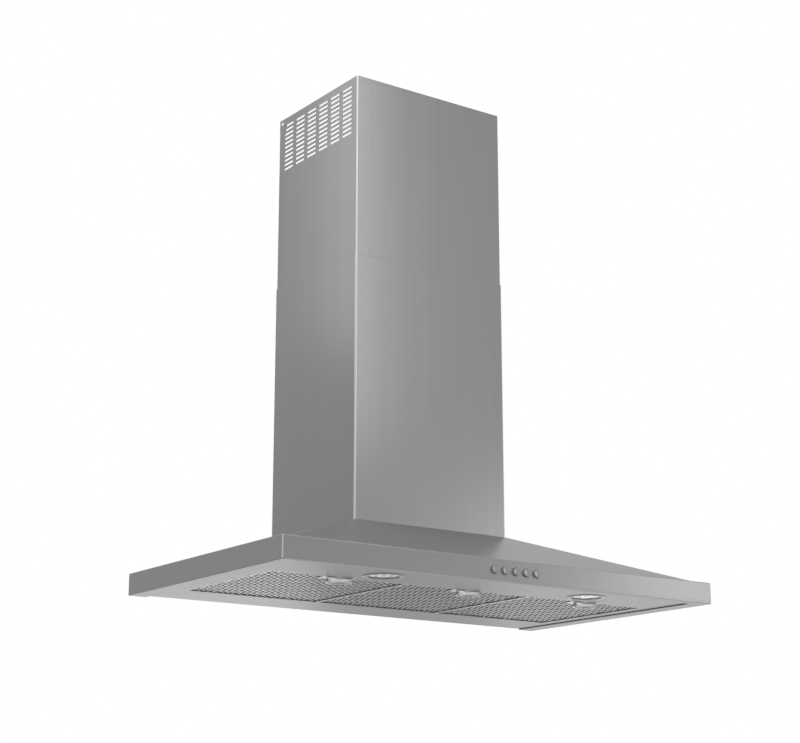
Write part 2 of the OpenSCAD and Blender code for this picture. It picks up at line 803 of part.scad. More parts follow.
// Outline of one forward-curved blade between its inner and outer radius.
function blade_outline() = let (steps = 5, out_r = wheel_r - 2 * sheet) concat(
    [for (i = [0 : steps]) blade_point(blade_in_r + (out_r - blade_in_r) * i / steps, i / steps, 0)],
    [for (i = [steps : -1 : 0]) blade_point(blade_in_r + (out_r - blade_in_r) * i / steps, i / steps, blade_t)]
);
function blade_point(r, share, t) = let (a = blade_sweep * share * share) [r * cos(a) - t * sin(a), r * sin(a) + t * cos(a)];

// Turns a piece drawn round z about the wheel's axis, which runs across the hood.
module on_fan_axis() {
    translate([0, -fan_y, fan_z]) rotate([0, 90, 0]) children();
}

// All blades of the squirrel-cage wheel over a length l, centred.
module blade_ring(l) {
    for (i = [0 : blades - 1]) rotate([0, 0, i * 360 / blades])
        translate([0, 0, -l / 2]) linear_extrude(l) polygon(blade_outline());
}

// Forward-curved blades, each a strip of its own that runs through the middle disc.
module wheel_blades() hang() color("gray") on_fan_axis() blade_ring(wheel_w - 2 * sheet);

// Middle disc with a slot for each blade, and the hub on the shaft.
module wheel_disc() hang() color("gray") on_fan_axis() difference() {
    union() {
        translate([0, 0, -hub_disc_t / 2]) cylinder(r = wheel_r - disc_edge, h = hub_disc_t);
        translate([0, 0, -hub_disc_t / 2]) cylinder(r = hub_r, h = hub_l);
    }
    blade_ring(hub_disc_t + 2 * cut);
    translate([0, 0, -wheel_w]) cylinder(r = shaft_r + run / 2, h = 2 * wheel_w);
}

// A flanged ring over the blades at each end of the wheel.
module wheel_rings() hang() color("gray") on_fan_axis() {
    for (side = [0, 1]) mirror([0, 0, side]) translate([0, 0, -wheel_w / 2]) rotate_extrude() polygon([
        [wheel_r - ring_d, 0],
        [wheel_r, 0],
        [wheel_r, ring_l],
        [wheel_r - sheet, ring_l],
        [wheel_r - sheet, sheet],
        [wheel_r - ring_d, sheet]
    ]);
}

// Place of the motor's face inside the wheel
motor_face = -hub_disc_t / 2 - motor_gap;

// Steel shaft between the motor and the wheel's hub.
module motor_shaft() hang() color("darkgray") translate([0, -fan_y, fan_z])
    peg_x(shaft_r, motor_face - motor_l / 2, hub_l);

// Closed motor that reaches into the wheel.
module motor() hang() color("dimgray") translate([0, -fan_y, fan_z]) difference() {
    union() {
        peg_x(motor_r, motor_face - motor_l, motor_face - boss_out);
        peg_x(boss_r, -scroll_w / 2 - plate - arm_off, motor_face);
    }
    peg_x(shaft_r + run, motor_face - motor_l / 2 - seat, motor_face + cut);
}

// Four-armed spider across the left inlet that carries the motor.
module motor_bracket() hang() color("lightsteelblue") {
    face = -scroll_w / 2 - plate - arm_off;
    arm_l = inlet_flange_r + edge + arm_w / 2;
    difference() {
        translate([0, -fan_y, fan_z]) union() {
            for (a = [45, 135]) rotate([a, 0, 0])
                translate([face - arm_t, -arm_l, -arm_w / 2]) cube([arm_t, 2 * arm_l, arm_w]);
            peg_x(2 * boss_r, face - arm_t, face);
            for (a = [45 : 90 : 315])
                translate([0, (inlet_flange_r + edge) * cos(a), (inlet_flange_r + edge) * sin(a)])
                    peg_x(pad_r, face - arm_t / 2, -scroll_w / 2 - plate);
        }
        at_bracket_screws() peg_x(screw_hole_r, face - arm_t - cut, -scroll_w / 2);
    }
}

// Screws that hold the spider to the left cheek.
module bracket_screws() hang() color("dimgray") {
    face = -scroll_w / 2 - plate - arm_off - arm_t;
    at_bracket_screws() {
        peg_x(screw_r, face, -scroll_w / 2 + 2 * sheet);
        peg_x(screw_head_r, face - screw_head_h, face);
    }
}

// Flanged round collar on the blower's mouth that the duct is pushed over.
module duct_collar() hang() color("lightsteelblue") {
    flange_w = scroll_w + 2 * (plate + collar_flange);
    difference() {
        union() {
            slab(flange_w, box_front, throat_back + collar_flange, mouth_z, mouth_z + plate);
            translate([0, duct_y, mouth_z]) cylinder(r = collar_r, h = plate + collar_h);
        }
        translate([0, duct_y, mouth_z - cut]) cylinder(r = collar_r - sheet, h = plate + collar_h + 2 * cut);
        at_collar_screws() translate([0, 0, mouth_z - cut]) cylinder(r = screw_hole_r, h = plate + 2 * cut);
        translate([0, duct_y, rod_z]) peg_x(rod_r + run, -collar_r - cut, collar_r + cut);
    }
}

// Places of the screws in the collar's flange, outside the two cheeks.
module at_collar_screws() {
    for (x = [-1, 1], y = [box_front + edge, throat_back])
        translate([x * (scroll_w / 2 + plate + collar_flange / 2), y, 0]) children();
}

// Screws with their nuts in the collar's flange.
module collar_screws() hang() color("dimgray") {
    at_collar_screws() {
        translate([0, 0, mouth_z - nut_h]) cylinder(r = screw_r, h = nut_h + plate);
        translate([0, 0, mouth_z + plate]) cylinder(r = screw_head_r, h = screw_head_h);
        translate([0, 0, mouth_z - nut_h]) cylinder(r = screw_head_r, h = nut_h, $fn = 6);
    }
}

// Rod across the collar that the damper's flaps turn on.
module damper_rod() hang() color("darkgray") translate([0, duct_y, rod_z])
    peg_x(rod_r, -collar_r + sheet / 2, collar_r - sheet / 2);

// One half-round flap; towards is -1 for the front flap and 1 for the rear one.
module damper_flap(towards, knuckle_x) hang() color("lightgray") translate([0, duct_y, rod_z]) {
    half = towards < 0 ? [0, 0, 0] : [0, 0, 180];
    rotate(half) difference() {
        union() {
            intersection() {
                translate([0, 0, -flap_t / 2]) cylinder(r = flap_r, h = flap_t);
                slab(2 * flap_r, -flap_r, -flap_edge, -flap_t, flap_t);
            }
            for (side = [-1, 1]) translate([side * knuckle_x, 0, 0]) {
                slab(knuckle_l, -flap_edge - sheet, 0, -flap_t / 2, flap_t / 2);
                peg_x(knuckle_r, -knuckle_l / 2, knuckle_l / 2);
            }
        }
        peg_x(rod_r + run, -flap_r, flap_r);
    }
}

// Steel box with the wiring, on the panel behind the filters.
module control_box() hang() color("lightsteelblue") translate([control_x, control_y, panel_top]) difference() {
    slab(control_w, -control_d / 2, control_d / 2, 0, control_h);
    slab(
        control_w - 2 * box_wall, -control_d / 2 + box_wall, control_d / 2 - box_wall,
        box_wall, control_h + cut
    );
    translate([0, 0, control_h / 2]) peg_x(gland_r - box_wall, control_w / 2 - box_wall - cut, control_w / 2 + cut);
}

// Lid that caps the control box.
module control_box_lid() hang() color("lightsteelblue")
    translate([control_x, control_y, panel_top + control_h]) {
        slab(control_w, -control_d / 2, control_d / 2, 0, sheet);
        slab(
            control_w - 2 * (box_wall + fit), -control_d / 2 + box_wall + fit, control_d / 2 - box_wall - fit,
            -lid_lip, sheet / 2
        );
    }

// Capacitor of the motor, lying on the floor of the control box.
module run_capacitor() hang() color("white")
    translate([control_x, control_y, panel_top + box_wall + capacitor_r + fit])
        peg_x(capacitor_r, -capacitor_l / 2, capacitor_l / 2);

// Gland that the mains cord would enter through.
module cord_gland() hang() color("dimgray")
    translate([control_x + control_w / 2, control_y, panel_top + control_h / 2]) difference() {
        union() {
            peg_x(gland_r - box_wall - fit, -gland_in, sheet);
            rotate([0, 90, 0]) cylinder(r = gland_r + box_wall, h = gland_l / 2, $fn = 6);
            peg_x(gland_r - box_wall, gland_l / 2 - cut, gland_l);
        }
        peg_x(gland_bore_r, -gland_l, gland_l + cut);
    }

// Closed power supply of the lamps, on the panel behind the filters.
module lamp_driver() hang() color("whitesmoke") translate([-control_x, control_y, panel_top]) {
    slab(driver_w, -driver_d / 2, driver_d / 2, 0, driver_h);
    for (side = [-1, 1]) translate([side * (driver_w / 2 + edge / 2), 0, 0])
        slab(edge, -driver_foot_d / 2, driver_foot_d / 2, 0, driver_foot_t);
}

canopy_shell();
underside_panel();
panel_stiffeners();
wall_plate();
lower_cover();
lower_cover_screws();
upper_cover();
upper_cover_brackets();
upper_cover_screws();
filter_frame(-1);  // left_filter_frame
filter_mesh(-1);  // left_filter_mesh
latch_grip(-1);  // left_latch_grip
latch_nose(-1);  // left_latch_nose
filter_frame(0);  // centre_filter_frame
filter_mesh(0);  // centre_filter_mesh
latch_grip(0);  // centre_latch_grip
latch_nose(0);  // centre_latch_nose
filter_frame(1);  // right_filter_frame
filter_mesh(1);  // right_filter_mesh
latch_grip(1);  // right_latch_grip
latch_nose(1);  // right_latch_nose
lamp_bezel(-1);  // left_lamp_bezel
lamp_lens(-1);  // left_lamp_lens
lamp_housing(-1);  // left_lamp_housing
lamp_bezel(1);  // right_lamp_bezel
lamp_lens(1);  // right_lamp_lens
lamp_housing(1);  // right_lamp_housing
led_boards();
button(0);  // off_button
button(1);  // low_button
button(2);  // medium_button
button(3);  // high_button
button(4);  // light_button
button_guide();
switch_board();
blower_rails();
scroll_wrapper();
scroll_cheek(-1);  // left_scroll_cheek
scroll_cheek(1);  // right_scroll_cheek
inlet_ring(-1);  // left_inlet_ring
inlet_ring(1);  // right_inlet_ring
wheel_blades();
wheel_disc();
wheel_rings();
motor_shaft();
motor();
motor_bracket();
bracket_screws();
duct_collar();
collar_screws();
damper_rod();
damper_flap(-1, 36);  // front_damper_flap
damper_flap(1, 14);  // rear_damper_flap
control_box();
control_box_lid();
run_capacitor();
cord_gland();
lamp_driver();
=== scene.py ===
import math

import bmesh
import bpy
import numpy as np
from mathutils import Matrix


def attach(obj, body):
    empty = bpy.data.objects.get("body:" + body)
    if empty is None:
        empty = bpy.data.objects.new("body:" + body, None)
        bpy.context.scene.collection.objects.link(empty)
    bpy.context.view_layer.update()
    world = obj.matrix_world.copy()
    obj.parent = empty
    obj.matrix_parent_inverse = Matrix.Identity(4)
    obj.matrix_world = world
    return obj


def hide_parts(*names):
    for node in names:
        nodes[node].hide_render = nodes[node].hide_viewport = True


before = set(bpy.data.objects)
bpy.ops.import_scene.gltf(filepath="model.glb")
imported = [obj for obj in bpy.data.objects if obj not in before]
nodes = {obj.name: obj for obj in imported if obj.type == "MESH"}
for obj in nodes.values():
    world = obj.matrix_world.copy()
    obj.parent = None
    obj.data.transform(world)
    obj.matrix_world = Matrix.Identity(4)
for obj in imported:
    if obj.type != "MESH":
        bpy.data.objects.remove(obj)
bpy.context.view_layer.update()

MM = 0.001


# Where the hood is seen: the photographer stands low and to the left, looks up at it, and has a plain white
# surround with a few large soft lamps round the hood. Metres and radians, and the lens in millimetres.
EYE = (-1.83887, -2.75415, -0.68573)
TURN = 0.61915
TILT = 0.26089
LENS = 80
SIGHT_END = 600
FLOOR_Z = -3.6
FLOOR_SIZE = 400

scene = bpy.context.scene
scene.view_settings.view_transform = "Standard"


def place(obj):
    """Puts a new object into the scene."""
    scene.collection.objects.link(obj)
    return obj


camera = place(bpy.data.objects.new("camera", bpy.data.cameras.new("camera")))
camera.data.lens = LENS
camera.data.clip_end = SIGHT_END
camera.location = EYE
camera.rotation_euler = (math.pi / 2 + TILT, 0, -TURN)
scene.camera = camera


def new_node(tree, kind, values=None, **settings):
    """Adds a shader node, sets its settings and its unlinked sockets."""
    node = tree.nodes.new(kind)
    for key, value in settings.items():
        setattr(node, key, value)
    for key, value in (values or {}).items():
        node.inputs[key].default_value = value
    return node


def new_finish(name):
    """A new material, with its node tree and its main shader."""
    mat = bpy.data.materials.new(name)
    mat.use_nodes = True
    return mat, mat.node_tree, mat.node_tree.nodes["Principled BSDF"]


def rescale(tree, value, low, high, new_low, new_high):
    """Maps a value between low and high to one between the new low and the new high."""
    scaled = new_node(tree, "ShaderNodeMapRange",
                      {"From Min": low, "From Max": high, "To Min": new_low, "To Max": new_high})
    tree.links.new(value, scaled.inputs[0])
    return scaled


def white_to_eye_and_metal(tree, plain, white, share=None):
    """Mixes two shaders: white for camera, mirror and glass rays, plain for the light on the object.
    share, where given, holds the white back where it is 0."""
    path = new_node(tree, "ShaderNodeLightPath")
    either = new_node(tree, "ShaderNodeMath", operation="MAXIMUM")
    any_of = new_node(tree, "ShaderNodeMath", operation="MAXIMUM")
    mix = new_node(tree, "ShaderNodeMixShader")
    tree.links.new(path.outputs["Is Camera Ray"], either.inputs[0])
    tree.links.new(path.outputs["Is Glossy Ray"], either.inputs[1])
    tree.links.new(either.outputs[0], any_of.inputs[0])
    tree.links.new(path.outputs["Is Transmission Ray"], any_of.inputs[1])
    if share is None:
        tree.links.new(any_of.outputs[0], mix.inputs[0])
    else:
        part = new_node(tree, "ShaderNodeMath", operation="MULTIPLY")
        tree.links.new(any_of.outputs[0], part.inputs[0])
        tree.links.new(share.outputs[0], part.inputs[1])
        tree.links.new(part.outputs[0], mix.inputs[0])
    tree.links.new(plain.outputs[0], mix.inputs[1])
    tree.links.new(white.outputs[0], mix.inputs[2])
    return mix


world = bpy.data.worlds.new("surround")
world.use_nodes = True
world.node_tree.nodes.clear()
soft = new_node(world.node_tree, "ShaderNodeBackground", {"Color": (1, 1, 1, 1), "Strength": 0.9})
clear = new_node(world.node_tree, "ShaderNodeBackground", {"Color": (1, 1, 1, 1), "Strength": 1.0})
shown = white_to_eye_and_metal(world.node_tree, soft, clear)
world.node_tree.links.new(shown.outputs[0], new_node(world.node_tree, "ShaderNodeOutputWorld").inputs[0])
scene.world = world

floor_mesh = bpy.data.meshes.new("floor")
half = FLOOR_SIZE / 2
floor_mesh.from_pydata([(x * half, y * half, FLOOR_Z) for x, y in ((-1, -1), (1, -1), (1, 1), (-1, 1))],
                       [], [(0, 1, 2, 3)])
floor = place(bpy.data.objects.new("floor", floor_mesh))
floor_paint, tree, floor_shader = new_finish("floor_paint")
floor_shader.inputs["Roughness"].default_value = 0.9
floor_shader.inputs["Base Color"].default_value = (0.86, 0.86, 0.86, 1)
# Far from the hood the floor fades into the white surround.
FADE_START, FADE_END = 6.0, 22.0
floor_place = new_node(tree, "ShaderNodeTexCoord")
floor_way = new_node(tree, "ShaderNodeVectorMath", operation="LENGTH")
tree.links.new(floor_place.outputs["Object"], floor_way.inputs[0])
floor_far = rescale(tree, floor_way.outputs["Value"], FADE_START, FADE_END, 0.0, 1.0)
floor_glow = new_node(tree, "ShaderNodeEmission", {"Color": (1, 1, 1, 1), "Strength": 1.0})
floor_mix = white_to_eye_and_metal(tree, floor_shader, floor_glow, floor_far)
tree.links.new(floor_mix.outputs[0], tree.nodes["Material Output"].inputs["Surface"])
floor_mesh.materials.append(floor_paint)


def soft_lamp(name, place_at, aim_at, width, height, power):
    """A square lamp that the camera doesn't see, turned from its place to the point it lights."""
    lamp = bpy.data.lights.new(name, "AREA")
    lamp.shape = "RECTANGLE"
    lamp.size = width
    lamp.size_y = height
    lamp.energy = power
    obj = place(bpy.data.objects.new(name, lamp))
    obj.location = place_at
    way = np.array(aim_at, float) - np.array(place_at, float)
    way /= np.linalg.norm(way)
    obj.rotation_euler = (math.acos(-way[2]), 0, math.atan2(way[1], way[0]) - math.pi / 2)
    obj.visible_camera = False


# Each lamp's place and the point that it lights in metres, its width and height, and its power in watts.
soft_lamp("lamp_front", (0.02, -0.72, 0.58), (-0.25, -0.27, 0.46), 0.22, 0.96, 1.45)
soft_lamp("lamp_front_right", (1.20, -1.30, -0.06), (0.50, -0.50, -0.25), 0.4, 0.4, 2.4)
soft_lamp("lamp_front_broad", (0.9, -2.2, 0.5), (0.0, -0.3, 0.2), 1.6, 1.6, 1.6)
soft_lamp("lamp_rear_left", (-0.56, 0.16, 0.78), (-0.165, -0.32, 0.64), 0.25, 0.9, 1.05)
soft_lamp("lamp_left", (-1.7, -0.2, 1.5), (-0.2, -0.3, -0.15), 0.9, 0.9, 7.0)
soft_lamp("lamp_under_left", (1.48, 3.15, -0.85), (-0.30, -0.44, -0.27), 0.8, 1.0, 3.0)
soft_lamp("lamp_under_right", (2.70, 1.475, -1.13), (0.416, -0.528, -0.27), 1.9, 0.9, 4.8)
soft_lamp("lamp_overhead", (-0.4, -1.0, 2.4), (0, -0.3, 0.0), 1.6, 1.6, 19.0)


# Canopy: one stainless sheet 1 mm thick, folded into a rim, a narrow ledge and four-sided slopes up to
# a flat ring round the opening. Its lower edge is hemmed, its corners are welded and ground smooth, and
# the front of the rim is punched for the five buttons.
# Sizes are in millimetres up from the rim's lower edge, which hangs HANG under the frame's origin.
HANG = 270
SHEET = 1
HOOD_W = 898
HOOD_D = 500
RIM_H = 38
LEDGE_W = 12
CANOPY_H = 124
SIDE_FLANGE = 35
FRONT_FLANGE = 20
TOP_RING = 18
FOLD = 1.6
LEDGE_BEND = 3
RING_BEND = 4
FOLD_STEPS = 5
HEM_INSET = 3
HEM_CORNER = 0.4
CORNER = 3.2
CORNER_STEPS = 6
RING_BACK = 1.5
CHIM_W = 330
CHIM_D = 271
UPSTAND = 12
UPSTAND_IN = 1.25
UPSTAND_BEND = 2
UPSTAND_BACK = 2.6
UPSTAND_SUNK = 0.4
DRAWN_SHEET = 0.92
# How bright the painted highlights on the bends are, from 0 to 1.
CORNER_HIGHLIGHT = 0.6
LOWER_BEND_HIGHLIGHT = 0.42
UPPER_BEND_HIGHLIGHT = 0.1
BUTTON_PITCH = 22
BUTTON_COUNT = 5
BUTTON_HOLE_R = 6.5
HOLE_STEPS = 8


def grid_cells(rows, cols, wrap_cols=False, flip=False):
    """Faces of a grid of rows by cols points: each cell joins a point, the next in its row and the two
    beside them in the next row."""
    i = np.arange(rows - 1)
    j = np.arange(cols if wrap_cols else cols - 1)
    i, j = (a.ravel() for a in np.meshgrid(i, j, indexing="ij"))
    k, l = i + 1, (j + 1) % cols
    cells = np.stack([i * cols + j, i * cols + l, k * cols + l, k * cols + j], 1)
    return cells[:, ::-1] if flip else cells


def surface(points, wrap_cols=False, flip=False, keep=None, painted_light=0.0):
    """A grid of points in hood millimetres as (points, faces, map, painted light): the map runs with the
    distance along the rows and the columns. keep says which cells are there, and the painted-light share
    which points are painted brighter as a painted highlight."""
    p = np.asarray(points, float)
    rows, cols = p.shape[:2]
    along = np.concatenate([[0], np.cumsum(np.linalg.norm(np.diff(p, axis=1), axis=2).max(0))])
    across = np.concatenate([[0], np.cumsum(np.linalg.norm(np.diff(p, axis=0), axis=2).max(1))])
    uv = np.stack(np.broadcast_arrays(along[None, :], across[:, None]), 2)
    cells = grid_cells(rows, cols, wrap_cols, flip)
    if keep is not None:
        cells = cells[np.asarray(keep).ravel()]
    return p.reshape(-1, 3), cells, uv.reshape(-1, 2), np.broadcast_to(painted_light, (rows, cols)).ravel()


def build(name, pieces, material, body, stands_for, crease=35, merge=0.004, turn_out=False, thick=0):
    """Joins surfaces into one object in metres, merges points within merge millimetres, turns faces outward
    if asked, and gives it its thickness, material and body."""
    points, faces, maps, painted_bright, start = [], [], [], [], 0
    for p, f, uv, painted_light in pieces:
        painted_bright.append(painted_light)
        points.append(p)
        faces.append(f + start)
        maps.append(uv)
        start += len(p)
    points = np.concatenate(points)
    points = (points - [0, 0, HANG]) * MM
    maps = np.concatenate(maps) * MM
    mesh = bpy.data.meshes.new(name)
    mesh.vertices.add(len(points))
    mesh.vertices.foreach_set("co", points.astype(np.float32).ravel())
    sizes = np.concatenate([np.full(len(f), f.shape[1]) for f in faces])
    loops = np.concatenate([f.ravel() for f in faces])
    mesh.loops.add(len(loops))
    mesh.loops.foreach_set("vertex_index", loops.astype(np.int32))
    mesh.polygons.add(len(sizes))
    mesh.polygons.foreach_set("loop_start", np.concatenate([[0], np.cumsum(sizes)[:-1]]).astype(np.int32))
    layer = mesh.uv_layers.new(name="run")
    layer.data.foreach_set("uv", maps[loops].astype(np.float32).ravel())
    # Each point's share of painted light: painted highlights on bends and edges, painted light and shade on
    # the filter strands.
    bright = mesh.attributes.new("painted_light", "FLOAT", "POINT")
    bright.data.foreach_set("value", np.concatenate(painted_bright).astype(np.float32))
    mesh.update(calc_edges=True)
    mesh.validate()
    work = bmesh.new()
    work.from_mesh(mesh)
    bmesh.ops.remove_doubles(work, verts=work.verts, dist=merge * MM)
    if turn_out:
        bmesh.ops.recalc_face_normals(work, faces=work.faces)
    work.to_mesh(mesh)
    work.free()
    mesh.polygons.foreach_set("use_smooth", np.ones(len(mesh.polygons), bool))
    mesh.set_sharp_from_angle(angle=math.radians(crease))
    mesh.materials.append(material)
    obj = place(bpy.data.objects.new(name, mesh))
    if thick:
        wall = obj.modifiers.new("wall", "SOLIDIFY")
        wall.thickness = thick * MM
        wall.offset = -1
    level = obj.modifiers.new("level", "WEIGHTED_NORMAL")
    level.weight = 100
    level.keep_sharp = True
    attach(obj, body)
    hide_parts(*stands_for)


def arc(cx, cy, radius, start, end, steps):
    """Points on a circle's arc, from the start to the end angle in degrees."""
    a = np.radians(np.linspace(start, end, steps + 1))
    return np.stack([cx + radius * np.cos(a), cy + radius * np.sin(a)], 1)


def rounded(corners, radii):
    """A path through corners, each turned into an arc: the arc's ends lie radius * tan(half the turn) from
    the corner on both legs, and its points are spaced evenly in angle about the arc's centre."""
    c = np.asarray(corners, float)
    out = [c[:1]]
    for before, here, after, radius in zip(c[:-2], c[1:-1], c[2:], radii):
        a, b = before - here, after - here
        a, b = a / np.linalg.norm(a), b / np.linalg.norm(b)
        half_open = math.acos(np.clip(a @ b, -1, 1)) / 2
        reach = radius / math.tan(half_open)
        middle = here + (a + b) / np.linalg.norm(a + b) * radius / math.sin(half_open)
        first, last = here + a * reach - middle, here + b * reach - middle
        t = np.linspace(0, 1, FOLD_STEPS + 1)[:, None]
        turn = math.pi - 2 * half_open
        out.append(middle + (first * np.sin((1 - t) * turn) + last * np.sin(t * turn)) / math.sin(turn))
    out.append(c[-1:])
    return np.concatenate(out)


def plan_path(width, depth, radius, columns, back=0.0):
    """A U seen from above, from the wall along the left side, round the corner, along the front, and back on
    the right: straight legs joined by quarter circles. columns are the x places of the front's points."""
    w, d, r = width / 2, depth, radius
    left = arc(-w + r, -d + r, r, 180, 270, CORNER_STEPS)
    front = np.stack([columns, np.full(len(columns), -d)], 1)
    right = arc(w - r, -d + r, r, 270, 360, CORNER_STEPS)
    return np.concatenate([[[-w, -back]], left, front, right, [[w, -back]]])


def drawn_up(path, heights):
    """A path seen from above, repeated at each height."""
    return np.array([np.column_stack([path, np.full(len(path), z)]) for z in heights])


def times(tree, base, share):
    """A colour times a share."""
    colour = new_node(tree, "ShaderNodeVectorMath", operation="SCALE")
    colour.inputs[0].default_value = base
    tree.links.new(share.outputs[0], colour.inputs["Scale"])
    return colour


def emboss(tree, shader, pattern, strength, depth):
    """Lets a pattern raise and sink the surface by a depth in metres."""
    bump = new_node(tree, "ShaderNodeBump", {"Strength": strength, "Distance": depth})
    tree.links.new(pattern.outputs[0], bump.inputs["Height"])
    tree.links.new(bump.outputs[0], shader.inputs["Normal"])


def steel(name, base, grain, rough=0.34, streak=0.02, by_map=False, tint=0.8, painted_bright=0.6, metal=0.75):
    """Brushed stainless steel: long fine scratches from a noise stretched along the grain change the
    roughness and the relief, and broad faint bands the tone. Points with a painted-light share are painted
    brighter, a painted highlight."""
    mat, tree, shader = new_finish(name)
    shader.inputs["Metallic"].default_value = metal
    shader.inputs["Specular IOR Level"].default_value = 0.1
    shader.inputs["Specular Tint"].default_value = (tint, tint, tint, 1)
    coords = new_node(tree, "ShaderNodeTexCoord")
    source = coords.outputs["UV"] if by_map else coords.outputs["Object"]
    fine = new_node(tree, "ShaderNodeMapping")
    fine.inputs["Scale"].default_value = grain
    broad = new_node(tree, "ShaderNodeMapping")
    broad.inputs["Scale"].default_value = [g * 0.07 for g in grain]
    scratch = new_node(tree, "ShaderNodeTexNoise", {"Scale": 1.0, "Detail": 4.0, "Roughness": 0.65})
    band = new_node(tree, "ShaderNodeTexNoise", {"Scale": 1.0, "Detail": 3.0, "Roughness": 0.55})
    for mapping, noise in ((fine, scratch), (broad, band)):
        tree.links.new(source, mapping.inputs["Vector"])
        tree.links.new(mapping.outputs[0], noise.inputs["Vector"])
    tone = rescale(tree, band.outputs[0], 0.3, 0.7, 1 - streak, 1 + streak)
    hair = rescale(tree, scratch.outputs[0], 0.25, 0.75, 1 - streak, 1 + streak)
    both = new_node(tree, "ShaderNodeMath", operation="MULTIPLY")
    tree.links.new(tone.outputs[0], both.inputs[0])
    tree.links.new(hair.outputs[0], both.inputs[1])
    colour = times(tree, base, both)
    # Points with painted light are painted brighter, towards a light tone that stands in for highlights.
    bright = new_node(tree, "ShaderNodeMix", {"B": (painted_bright, painted_bright, painted_bright, 1)}, data_type="RGBA")
    painted_light = new_node(tree, "ShaderNodeAttribute", attribute_name="painted_light")
    tree.links.new(painted_light.outputs["Fac"], bright.inputs["Factor"])
    tree.links.new(colour.outputs[0], bright.inputs["A"])
    tree.links.new(bright.outputs["Result"], shader.inputs["Base Color"])
    sheen = rescale(tree, scratch.outputs[0], 0.25, 0.75, rough - 0.05, rough + 0.06)
    tree.links.new(sheen.outputs[0], shader.inputs["Roughness"])
    emboss(tree, shader, scratch, 0.06, 0.0003)
    return mat


STEEL = (0.215, 0.215, 0.214)
steel_canopy = steel("brushed_steel_canopy", STEEL, (6, 1500, 1), by_map=True, metal=0.55)
steel_covers = steel("brushed_steel_covers", STEEL, (1500, 1500, 6))
steel_under = steel("brushed_steel_panel", STEEL, (6, 1500, 1500))

# The canopy has a section for its sides and one for its front, as (distance in from the rim, height).
side_run = (HOOD_W - CHIM_W) / 2 - LEDGE_W
front_run = HOOD_D - LEDGE_W - CHIM_D


def fold_line(flange, run):
    """Section of the folded sheet from the hem's upper face round its fold, out along the flange, up the rim,
    over the ledge and up the slope to the ring."""
    hem = arc(flange - SHEET, SHEET, SHEET, 90, -90, 6)
    slope_end = LEDGE_W + run
    body = rounded([(flange - 2 * SHEET, 0), (0, 0), (0, RIM_H), (LEDGE_W, RIM_H), (slope_end, CANOPY_H),
                    (slope_end + TOP_RING, CANOPY_H)], [FOLD, FOLD, LEDGE_BEND, RING_BEND])
    return np.concatenate([[[HEM_INSET, 2 * SHEET]], hem, body[1:]])


side_line, front_line = fold_line(SIDE_FLANGE, side_run), fold_line(FRONT_FLANGE, front_run)
button_x = (np.arange(BUTTON_COUNT) - (BUTTON_COUNT - 1) / 2) * BUTTON_PITCH
row_end = BUTTON_COUNT * BUTTON_PITCH / 2
punched = np.linspace(-row_end, row_end, BUTTON_COUNT * HOLE_STEPS + 1)
spread = np.array([0.3, 0.65])
levels = []
for (a_side, z_side), (a_front, z_front) in zip(side_line, front_line):
    height = (z_side + z_front) / 2
    on_ring = a_side > LEDGE_W + side_run + 0.1
    under = height < FOLD and a_side > FOLD
    radius = HEM_CORNER if under else CORNER
    outer = punched[-1] + spread * (HOOD_W / 2 - a_side - punched[-1])
    columns = np.concatenate([-outer[::-1], punched, outer])
    path = plan_path(HOOD_W - 2 * a_side, HOOD_D - a_front, radius, columns, RING_BACK if on_ring else 0)
    levels.append(drawn_up(path, [height])[0])
levels = np.array(levels)
# Between the rim's lower and upper bend, rows of points are added level with the holes' points.
low = int(np.argmin(np.abs(levels[:, 0, 2] - FOLD) + np.abs(side_line[:, 0]) * 10))
high = low + HOLE_STEPS
share = np.linspace(0, 1, HOLE_STEPS + 1)[1:-1, None, None]
between = levels[low] * (1 - share) + levels[low + 1] * share
levels = np.concatenate([levels[:low + 1], between, levels[low + 1:]])
first = 1 + (CORNER_STEPS + 1) + len(spread)
last = first + BUTTON_COUNT * HOLE_STEPS
cell_there = np.ones((levels.shape[0] - 1, levels.shape[1] - 1), bool)
cell_there[low:high, first:last] = False
# The rim's upright corners get a painted highlight on the middle points of their bends.
bend_middle = 1 + CORNER_STEPS // 2 + np.array([-1, 0, 1])
highlight_at = np.isin(np.arange(levels.shape[1]), [bend_middle, levels.shape[1] - 1 - bend_middle])
corner = CORNER_HIGHLIGHT * (highlight_at[None, :] & (levels[..., 2] >= FOLD) & (levels[..., 2] < RIM_H + 1))
# The rim's front bends get a painted highlight too, between their first and last rows of points.
front_middle = levels[:, levels.shape[1] // 2]
inset, height = HOOD_D + front_middle[:, 1], front_middle[:, 2]
in_bend = (inset < FOLD - 0.01) & ((height < FOLD - 0.01) | (height > RIM_H - FOLD + 0.01)) & (height < RIM_H)
along_front = levels[low, :, 1] < 0.01 - HOOD_D
bend_highlight = in_bend * np.where(height < FOLD, LOWER_BEND_HIGHLIGHT, UPPER_BEND_HIGHLIGHT)
rim_highlight = np.maximum(corner, bend_highlight[:, None] * along_front[None, :])
parts = [surface(levels, keep=cell_there, painted_light=rim_highlight)]
z_low, z_high = levels[low, first, 2], levels[high, first, 2]
map_shift = parts[0][2].reshape(levels.shape[0], levels.shape[1], 2)[low, first] - levels[low, first, [0, 2]]
front_y = levels[low, first, 1]


